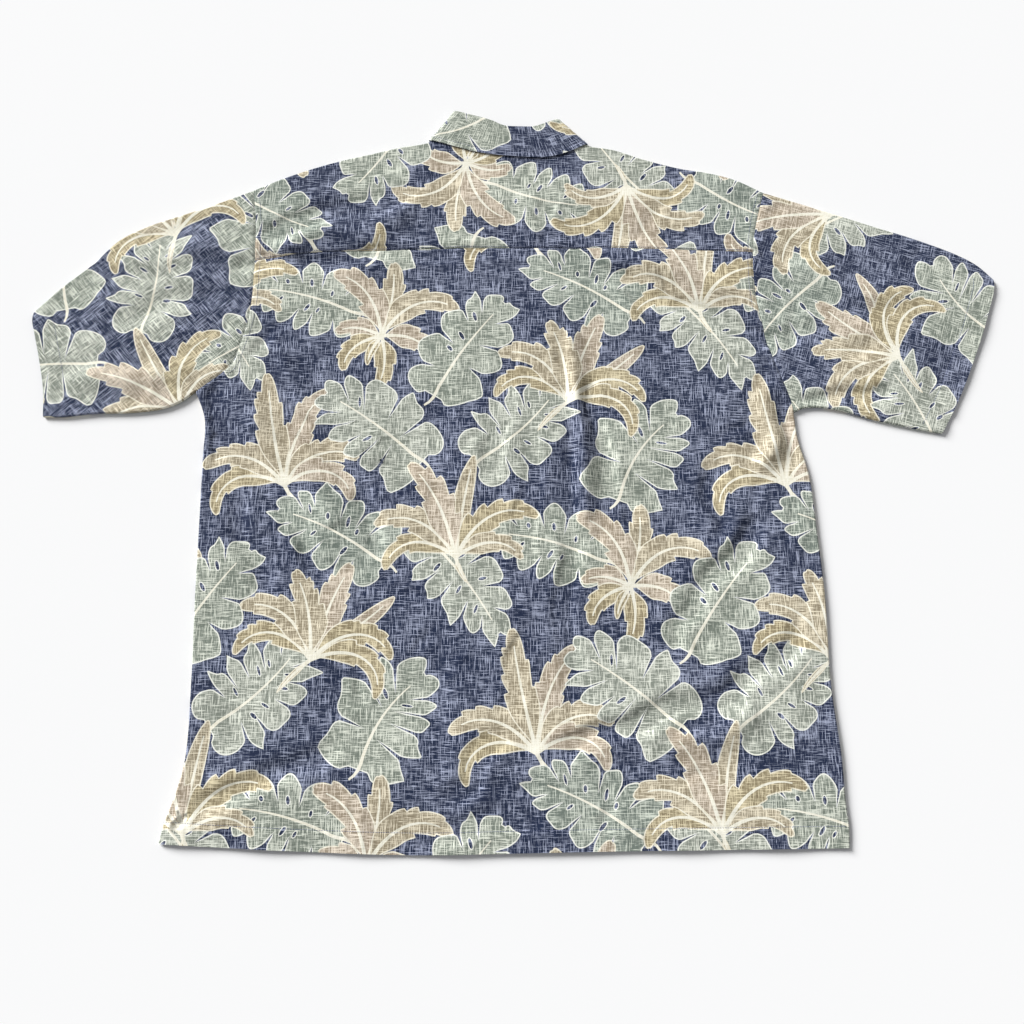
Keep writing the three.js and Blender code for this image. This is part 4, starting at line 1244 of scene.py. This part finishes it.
class Strip:
    """The flat pattern of a bent strip; side is 1 where the printed side faces outwards, else -1."""

    def __init__(self, top, edge, face, side, wave):
        self.reach = reach_along(top, edge)
        self.width = np.linalg.norm(top - edge, axis=1)
        self.top, self.edge, self.face, self.side, self.wave = top, edge, face, side, wave

    def ring(self, step):
        marks = np.linspace(0, self.reach[-1], round(self.reach[-1] / step) + 1)
        wide = np.interp(marks, self.reach, self.width)
        rise = np.linspace(0, 1, 14)[1:-1]
        low = np.column_stack([marks, marks * 0])
        high = np.column_stack([marks, wide])[::-1]
        end = np.column_stack([rise * 0 + marks[-1], rise * wide[-1]])
        start = np.column_stack([rise * 0, rise[::-1] * wide[0]])
        return np.vstack([low, end, high, start])

    def across(self, distance_from_fold):
        marks = np.linspace(2, self.reach[-1] - 2, 130)
        return np.column_stack([marks, np.interp(marks, self.reach, self.width) - distance_from_fold])

    def along(self, p, values):
        return np.column_stack([np.interp(p[:, 0], self.reach, values[:, k]) for k in range(3)])

    def place(self, p):
        wide = np.interp(p[:, 0], self.reach, self.width)
        v = np.clip(p[:, 1] / wide, 0, 1)[:, None]
        face = self.along(p, self.face)
        face /= np.maximum(np.linalg.norm(face, axis=1), 1e-9)[:, None]
        top, edge = self.along(p, self.top), self.along(p, self.edge)
        base = edge + (top - edge) * v
        turn = np.clip(1 - (wide - p[:, 1]) / FOLD_ROUND, 0, 1)[:, None]
        rise = np.sqrt(1 - turn**2)
        return base - face * self.side * FOLD_ROUND * (1 - rise) + face * self.wave(p, wide)[:, None]

    def lay(self, p):
        here = self.place(p)
        beyond = self.place(p + (NUDGE, 0)) - self.place(p - (NUDGE, 0))
        higher = self.place(p + (0, NUDGE / 3)) - self.place(p - (0, NUDGE / 3))
        normal = np.cross(beyond, higher)
        normal /= np.maximum(np.linalg.norm(normal, axis=1), 1e-9)[:, None]
        flip = np.sign(np.sum(normal * self.along(p, self.face), axis=1))
        flip[flip == 0] = 1
        return here, normal * (flip * self.side)[:, None]


def fall_wave(p, wide):
    """The fall lies loosely: slow waves along it, and its turned free edge is a little thicker."""
    loose = 0.30 * np.sin(p[:, 0] / 19 + 0.6) * np.sin(math.pi * np.clip(p[:, 1] / wide, 0, 1))
    hem_edge = 0.25 * plateau(p[:, 1], (5.0, 1.2)) - 0.3 * np.exp(-((p[:, 1] - 5.5) / 0.9) ** 2)
    over = np.interp(p[:, 0], fall_reach_marks, [0, 0, 1, 1, 0, 0])
    return (np.abs(loose) + hem_edge + 0.15) * over


fall_reach = reach_along(strip_fold, strip_edge)
first_up, last_up = np.flatnonzero(strip_face[:, 2] > 0.5)[[0, -1]]
fall_reach_marks = [0, fall_reach[first_up], fall_reach[first_up] + 6, fall_reach[last_up] - 6,
                    fall_reach[last_up], fall_reach[-1]]
print("the fall is", round(fall_reach[-1]), "mm long on its middle line")

# %% The fall and the stand
FALL_PRINT = ((-82.0, -145.0), 2.78)


STRIP_EDGE_STEP = 3.5
STRIP_STEP = 4.5
STRIP_LINING_STEP = 6.0


def make_strip(node, name, strip, print_shift, print_turn, grain):
    """The printed side has to face out, so the triangles are wound by the side that lies outwards."""
    ring = strip.ring(STRIP_EDGE_STEP)
    guides = [strip.across(FOLD_ROUND * share) for share in ROUND_SHARES]
    guides += [np.column_stack([np.linspace(3, strip.reach[-1] - 3, 120), np.full(120, y)])
               for y in (1.2, 4.5, 5.5, 6.5)]
    rings = print_over(ring.min(0), ring.max(0), print_shift, print_turn)
    places, faces = cut_flat(ring, guides, rings, STRIP_STEP)
    laid, facing = strip.lay(places)
    a, b, c = (laid[faces[:, k]] for k in range(3))
    wound = np.sum(np.cross(b - a, c - a) * facing[faces[:, 0]])
    turned = 1 if wound > 0 else -1
    print(name, "is wound", "as drawn" if turned > 0 else "the other way round")
    parts = sheet_parts(places, faces, strip.lay, grain, rings, turned, STRIP_LINING_STEP, False)
    pieces[node] = make_piece(name, parts, cotton)


fall = Strip(strip_fold, strip_edge, strip_face, 1, fall_wave)
make_strip("collar_fall", "collar_fall_cloth", fall, *FALL_PRINT, (0.0, 500.0, 40.0))
stand_top, stand_edge, stand_face = bent_strip(
    towards(fold_rows, neck_rows, 0.2), towards(neck_rows, fold_rows, 0.3), LAYER, BACK_TOP, LAYER)
stand_under = 1.2 - WALL
stand = Strip(stand_top - stand_face * stand_under, stand_edge - stand_face * stand_under, stand_face,
              -1, lambda p, wide: np.zeros(len(p)))
make_strip("collar_stand", "collar_stand_cloth", stand, (10.0, -20.0), 0.2, (0.0, 900.0, 40.0))

# %% [markdown]
# ## The sewing
# Every seam and hem that shows has a row of lockstitches. One tree of Geometry Nodes lays a short
# rounded stitch at even steps along a path. Placing some 2700 stitches by a loop would work too,
# but the tree keeps their pitch, length and thread as named sizes that can be changed later.

# %% A tree that sews along a path
# Two plies twisted round each other: matt, with a little fuzz; the colour is painted paler on the crown of
# each turn and darker in the grooves between them, as painted highlight and painted shade that follow the
# twist.
thread, thread_tree, thread_shader = new_material("cotton-wrapped sewing thread", 0.75)
TWIST = 0.0009
thread_place = add_node(thread_tree, "ShaderNodeTexCoord")
twist_relief_and_painted_shade = add_node(thread_tree, "ShaderNodeTexWave", {
    "bands_direction": "DIAGONAL", "in:Scale": 0.314 / TWIST, "in:Distortion": 1.5, "in:Detail": 1.0}, {
    "Vector": thread_place.outputs["Object"]})
# painted highlight on each ply's crown and painted shade in its grooves: the colour follows the same wave as
# the bump
colour_by(thread_tree, thread_shader, twist_relief_and_painted_shade.outputs["Fac"], "#474f70", "#858cab")
relief_by(thread_tree, thread_shader, twist_relief_and_painted_shade.outputs["Fac"], 0.4, 0.0001)
thread_shader.inputs["Sheen Weight"].default_value = 0.2
thread_shader.inputs["Specular IOR Level"].default_value = 0.25
STITCH_SIZES = {"Stitch pitch": 0.0027, "Stitch length": 0.0022, "Thread width": 0.00055}
sew = bpy.data.node_groups.new("row of lockstitches", "GeometryNodeTree")
sew.interface.new_socket("Geometry", in_out="INPUT", socket_type="NodeSocketGeometry")
for name, value in STITCH_SIZES.items():
    socket = sew.interface.new_socket(name, in_out="INPUT", socket_type="NodeSocketFloat")
    socket.default_value = value
sew.interface.new_socket("Thread", in_out="INPUT", socket_type="NodeSocketMaterial")
sew.interface.new_socket("Geometry", in_out="OUTPUT", socket_type="NodeSocketGeometry")
given = add_node(sew, "NodeGroupInput")
path = add_node(sew, "GeometryNodeMeshToCurve", links={"Mesh": given.outputs["Geometry"]})
steps = add_node(sew, "GeometryNodeResampleCurve", {"mode": "LENGTH"}, {
    "Curve": path.outputs["Curve"], "Length": given.outputs["Stitch pitch"]})
along = add_node(sew, "GeometryNodeInputTangent")
aimed = add_node(sew, "FunctionNodeAlignEulerToVector", {"axis": "Z"}, {"Vector": along.outputs["Tangent"]})
slack = add_node(sew, "FunctionNodeRandomValue", {
    "data_type": "FLOAT_VECTOR", "in:0": (-0.07, -0.07, 0.0), "in:1": (0.07, 0.07, 0.0), "in:Seed": 5})
turned = add_node(sew, "FunctionNodeRotateEuler", {"space": "LOCAL"}, {
    "Rotation": aimed.outputs["Rotation"], "Rotate By": slack.outputs["Value"]})
half_wide = maths(sew, "MULTIPLY", given.outputs["Thread width"], 0.5)
half_long = maths(sew, "MULTIPLY", given.outputs["Stitch length"], 0.5)
scale = add_node(sew, "ShaderNodeCombineXYZ", links={"X": half_wide, "Y": half_wide, "Z": half_long})
bead = add_node(sew, "GeometryNodeMeshUVSphere", {"in:Segments": 6, "in:Rings": 4, "in:Radius": 1.0})
stitch = add_node(sew, "GeometryNodeTransform", links={
    "Geometry": bead.outputs["Mesh"], "Scale": scale.outputs["Vector"]})
laid = add_node(sew, "GeometryNodeInstanceOnPoints", links={
    "Points": steps.outputs["Curve"], "Instance": stitch.outputs["Geometry"],
    "Rotation": turned.outputs["Rotation"]})
real = add_node(sew, "GeometryNodeRealizeInstances", links={"Geometry": laid.outputs["Instances"]})
done = add_node(sew, "GeometryNodeSetMaterial", links={
    "Geometry": real.outputs["Geometry"], "Material": given.outputs["Thread"]})
add_node(sew, "NodeGroupOutput", links={"Geometry": done.outputs["Geometry"]})
print("nodes in the sewing tree:", len(sew.nodes))

# %% Rows of stitches on the laid cloth
STITCH_LIFT = 0.12
extras = []
sizes_of_rows = {item.name: item.identifier for item in sew.interface.items_tree if item.in_out == "INPUT"}


def sew_rows(name, rows, **sizes):
    """One piece with a row of stitches along each path of places in millimetres."""
    points = []
    edges = []
    for row in rows:
        edges += [(len(points) + i, len(points) + i + 1) for i in range(len(row) - 1)]
        points += ((row - (*MIDDLE, 0)) * MM).tolist()
    mesh = bpy.data.meshes.new(name + "_path")
    mesh.from_pydata(points, edges, [])
    piece = add_object(name, mesh)
    modifier = piece.modifiers.new("sewing", "NODES")
    modifier.node_group = sew
    modifier[sizes_of_rows["Thread"]] = thread
    for label, value in {**STITCH_SIZES, **sizes}.items():
        modifier[sizes_of_rows[label]] = value
    ready = piece.evaluated_get(bpy.context.evaluated_depsgraph_get())
    sewn = bpy.data.meshes.new_from_object(ready)
    piece.modifiers.remove(modifier)
    piece.data = sewn
    sewn.name = name
    sewn.materials.clear()
    sewn.materials.append(thread)
    sewn.polygons.foreach_set("material_index", [0] * len(sewn.polygons))
    extras.append(piece)
    print(f"{name}: {len(rows)} rows, {len(sewn.polygons)} faces")
    return piece


def on_cloth(line, lay, lift=STITCH_LIFT):
    places, facing = lay(even_steps(line, 1.6))
    return places + facing * lift


def between(line, start, stop):
    """The stretch of a line between two distances from its ends."""
    fine = even_steps(line, 1.0)
    return fine[start:len(fine) - stop]


sew_rows("back_stitches", [
    on_cloth(between(beside(hem_line, HEM_DEPTH, back_centre), 4, 4), lay_back),
    *[on_cloth(between(beside(back_armhole[s], 6.5, back_centre), 3, 12), lay_back) for s in back_armhole]])
sew_rows("yoke_stitches", [
    on_cloth(between(beside(yoke_seam, 2.0, yoke_centre), 3, 3), lay_yoke),
    *[on_cloth(between(beside(yoke_armhole[s], 6.5, yoke_centre), 6, 2), lay_yoke) for s in yoke_armhole]])

# %% Sleeve hems, on both layers of the tube
for side in ("left", "right"):
    middle = np.vstack([cuff_line[side], armhole_line[side]]).mean(0)
    rolls = [sleeve_top[side], sleeve_under[side]]
    row = between(beside(cuff_line[side], SLEEVE_HEM_DEPTH, middle), 1, 1)
    sew_rows(f"sleeve_hem_stitches_{side}", [
        on_cloth(row, lambda p, f=face: lay_over(p, f, rolls, centre=middle)) for face in (1, -1)])

# %% Bands, buttonholes and hems of the fronts, on the side that faces the floor
HOLE_LENGTH = 15.0
BAND_END_Y = -352
for side in ("left", "right"):
    sign, edge_x, front_hem, lift = front_lines(side)

    def lay_front(p, lift=lift):
        return lay_over(p, -1, (), lift)

    rows = [on_cloth(np.array([[edge_x - sign * inset_x, BAND_NECK_Y - 4],
                               [edge_x - sign * inset_x, BAND_END_Y]]), lay_front)
            for inset_x in (3.0, 27.0)]
    rows.append(on_cloth(between(beside(front_hem, HEM_DEPTH, (0.0, 0.0)), 5, 5), lay_front))
    sew_rows(f"front_stitches_{side}", rows)
    if side == "left":
        holes = []
        for number in range(BUTTONS["count"]):
            y = BUTTONS["first_y"] - BUTTONS["pitch"] * number
            for x in (-0.8, 0.8):
                hole = np.array([[BAND_X + x, y - HOLE_LENGTH / 2], [BAND_X + x, y + HOLE_LENGTH / 2]])
                holes.append(on_cloth(hole, lay_front, 0.05))
        sew_rows("buttonhole_stitches", holes, **{"Stitch pitch": 0.0008, "Stitch length": 0.0016})

# %% The free edge of the fall
fall_row = np.column_stack([np.linspace(4, fall.reach[-1] - 4, 260), np.full(260, 5.5)])
places, facing = fall.lay(fall_row)
sew_rows("collar_stitches", [places + facing * STITCH_LIFT])

# %% [markdown]
# ## The buttons
# Seven sewn-through buttons of moulded plastic lie face down on the surface. Each is cut as a disc with
# four holes and given a dished face and a rounded rim; a lathe could turn the disc but not its holes.

# %% Buttons with holes and thread
HOLES = [(x, y) for x in (-1.5, 1.5) for y in (-1.5, 1.5)]
HOLE_RADIUS = 0.75
plastic, plastic_tree, plastic_shader = new_material("moulded polyester button", 0.35, 1.55)
# Cast polyester with a horn-like swirl: smooth, half glossy, darker and lighter brown in soft clouds.
swirl_place = add_node(plastic_tree, "ShaderNodeTexCoord")
swirl = add_node(plastic_tree, "ShaderNodeTexNoise", {
    "in:Scale": 420.0, "in:Detail": 2.0, "in:Distortion": 0.6}, {"Vector": swirl_place.outputs["Object"]})
colour_by(plastic_tree, plastic_shader, swirl.outputs["Fac"], "#3d342b", "#6b5c4a")
radius = BUTTONS["radius"]
disc = ellipse((0, 0), 0, radius, radius, 40)
circles = [ellipse((0, 0), 0, r, r, 40) for r in (3.1, 3.7, 4.3, 4.9, 5.3)]
hole_rings = [ellipse(place, 0, HOLE_RADIUS, HOLE_RADIUS, 12) for place in HOLES]
disc_places, disc_faces = cut_flat(disc, [closed(circle) for circle in circles],
                                   [(ring, "ground") for ring in hole_rings], 1.6)
disc_centres = disc_places[disc_faces].mean(axis=1)
in_hole = np.any([winding(disc_centres, ring) != 0 for ring in hole_rings], axis=0)
disc_faces = disc_faces[~in_hole]
disc_reach = np.hypot(*disc_places.T)
low = np.interp(disc_reach, [0, 3.1, 3.7, 4.3, 4.9, 5.3, radius], [0.6, 0.5, 0.15, 0.0, 0.12, 0.42, 0.8])
high = np.interp(disc_reach, [0, 4.3, 4.9, 5.3, radius], [2.0, 2.0, 1.9, 1.65, 1.2])
disc_rim = rim_of(disc_faces)
count = len(disc_places)
walls = np.vstack([np.column_stack([disc_rim[:, 1], disc_rim[:, 0], disc_rim[:, 0] + count]),
                   np.column_stack([disc_rim[:, 1], disc_rim[:, 0] + count, disc_rim[:, 1] + count])])
button_faces = np.vstack([disc_faces, disc_faces[:, ::-1] + count, walls])
button_points = np.vstack([np.column_stack([disc_places, high]), np.column_stack([disc_places, low])])


def strand(start, end, thick, sides=6, stations=7):
    """A short rounded strand of thread, closed at both of its ends."""
    start, end = np.array(start, float), np.array(end, float)
    way = (end - start) / np.linalg.norm(end - start)
    across = np.cross(way, (0, 0, 1.0))
    across /= np.linalg.norm(across)
    over = np.cross(way, across)
    points = []
    for k in range(stations):
        share = k / (stations - 1)
        reach = thick * max(0.25, math.sin(math.pi * (0.08 + 0.84 * share)) ** 0.5)
        for i in range(sides):
            a = 2 * math.pi * i / sides
            aside = across * math.cos(a) + over * math.sin(a)
            points.append(start + (end - start) * share + reach * aside)
    faces = [[k * sides + i, k * sides + (i + 1) % sides, (k + 1) * sides + (i + 1) % sides,
              (k + 1) * sides + i] for k in range(stations - 1) for i in range(sides)]
    faces += [list(range(sides))[::-1], [(stations - 1) * sides + i for i in range(sides)]]
    return points, faces


thread_points, thread_faces = [], []
for number in range(1, BUTTONS["count"] + 1):
    place = np.array([BAND_X, BUTTONS["first_y"] - BUTTONS["pitch"] * (number - 1), 0.0])
    name = f"shirt_button_{number}"
    mesh = plain_mesh(name, button_points + place, button_faces.tolist(), plastic)
    mesh.shade_smooth()
    mesh.set_sharp_from_angle(angle=math.radians(38))
    pieces[f"button_{number}"] = add_object(name, mesh)
    for y in (-1.5, 1.5):
        points, faces = strand(place + (-1.7, y, 0.42), place + (1.7, y, 0.42), 0.3)
        thread_faces += [[i + len(thread_points) for i in face] for face in faces]
        thread_points += points
thread_mesh = plain_mesh("button_threads", thread_points, thread_faces, thread)
thread_mesh.shade_smooth()
extras.append(add_object("button_threads", thread_mesh))
print("faces of one button:", len(button_faces))

# %% [markdown]
# ## Light, floor and camera
# The shirt was shot from above in soft daylight: one broad light from the upper left gives the folds
# their shade, and a white room fills the rest. The camera stands where the photo's did.

# %% A soft room
def aim_at(thing, target):
    thing.rotation_euler = (Vector(target) - thing.location).to_track_quat("-Z", "Y").to_euler()


scene = bpy.context.scene
world = bpy.data.worlds.new("soft white room")
world.use_nodes = True
background = world.node_tree.nodes["Background"]
background.inputs["Color"].default_value = (*linear("#f8f9fb"), 1.0)
background.inputs["Strength"].default_value = 0.32
scene.world = world
window = bpy.data.lights.new("window light", "SUN")
window.angle = math.radians(28)
window.energy = 5.5
window_object = bpy.data.objects.new("window light", window)
window_object.location = (-1.8, 1.5, 1.15)
aim_at(window_object, (0, 0, 0))
scene.collection.objects.link(window_object)
print("window light from", tuple(window_object.location))

# %% A plain pale floor, just under the cloth
FLOOR_REACH = 30.0
FLOOR_Z = -0.00055
corners = [(x * FLOOR_REACH, y * FLOOR_REACH, FLOOR_Z) for x, y in ((-1, -1), (1, -1), (1, 1), (-1, 1))]
floor_mesh = bpy.data.meshes.new("floor")
floor_mesh.from_pydata(corners, [], [(0, 1, 2, 3)])
floor = add_object("floor", floor_mesh)
board, _, board_shader = new_material("matt white board", 0.95)
board_shader.inputs["Base Color"].default_value = (*linear("#f2f2f2"), 1.0)
board_shader.inputs["Specular IOR Level"].default_value = 0.1
floor_mesh.materials.append(board)
print("floor at", FLOOR_Z, "m")

# %% The camera
camera_data = bpy.data.cameras.new("camera")
camera_data.sensor_width = 36.0
camera_data.lens = 35.156
camera = bpy.data.objects.new("camera", camera_data)
camera.location = (-0.004, -0.3076, 1.0919)
aim_at(camera, (-0.004, -0.0675, 0.0))
scene.collection.objects.link(camera)
scene.camera = camera
scene.view_settings.view_transform = "Standard"
print("camera at", tuple(round(v, 3) for v in camera.location))

# %% [markdown]
# ## What each piece stands for
# Every piece rides on the one body of the shirt and takes the place of its plain solid.

# %% Let each piece ride on the body and hide the solid it replaces
for node, piece in pieces.items():
    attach(piece, "root")
    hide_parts(node)
for piece in extras:
    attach(piece, "root")

# %% List the pieces
print("pieces:", ", ".join(sorted(pieces)))

# %% The end of the build
print("the build is done")
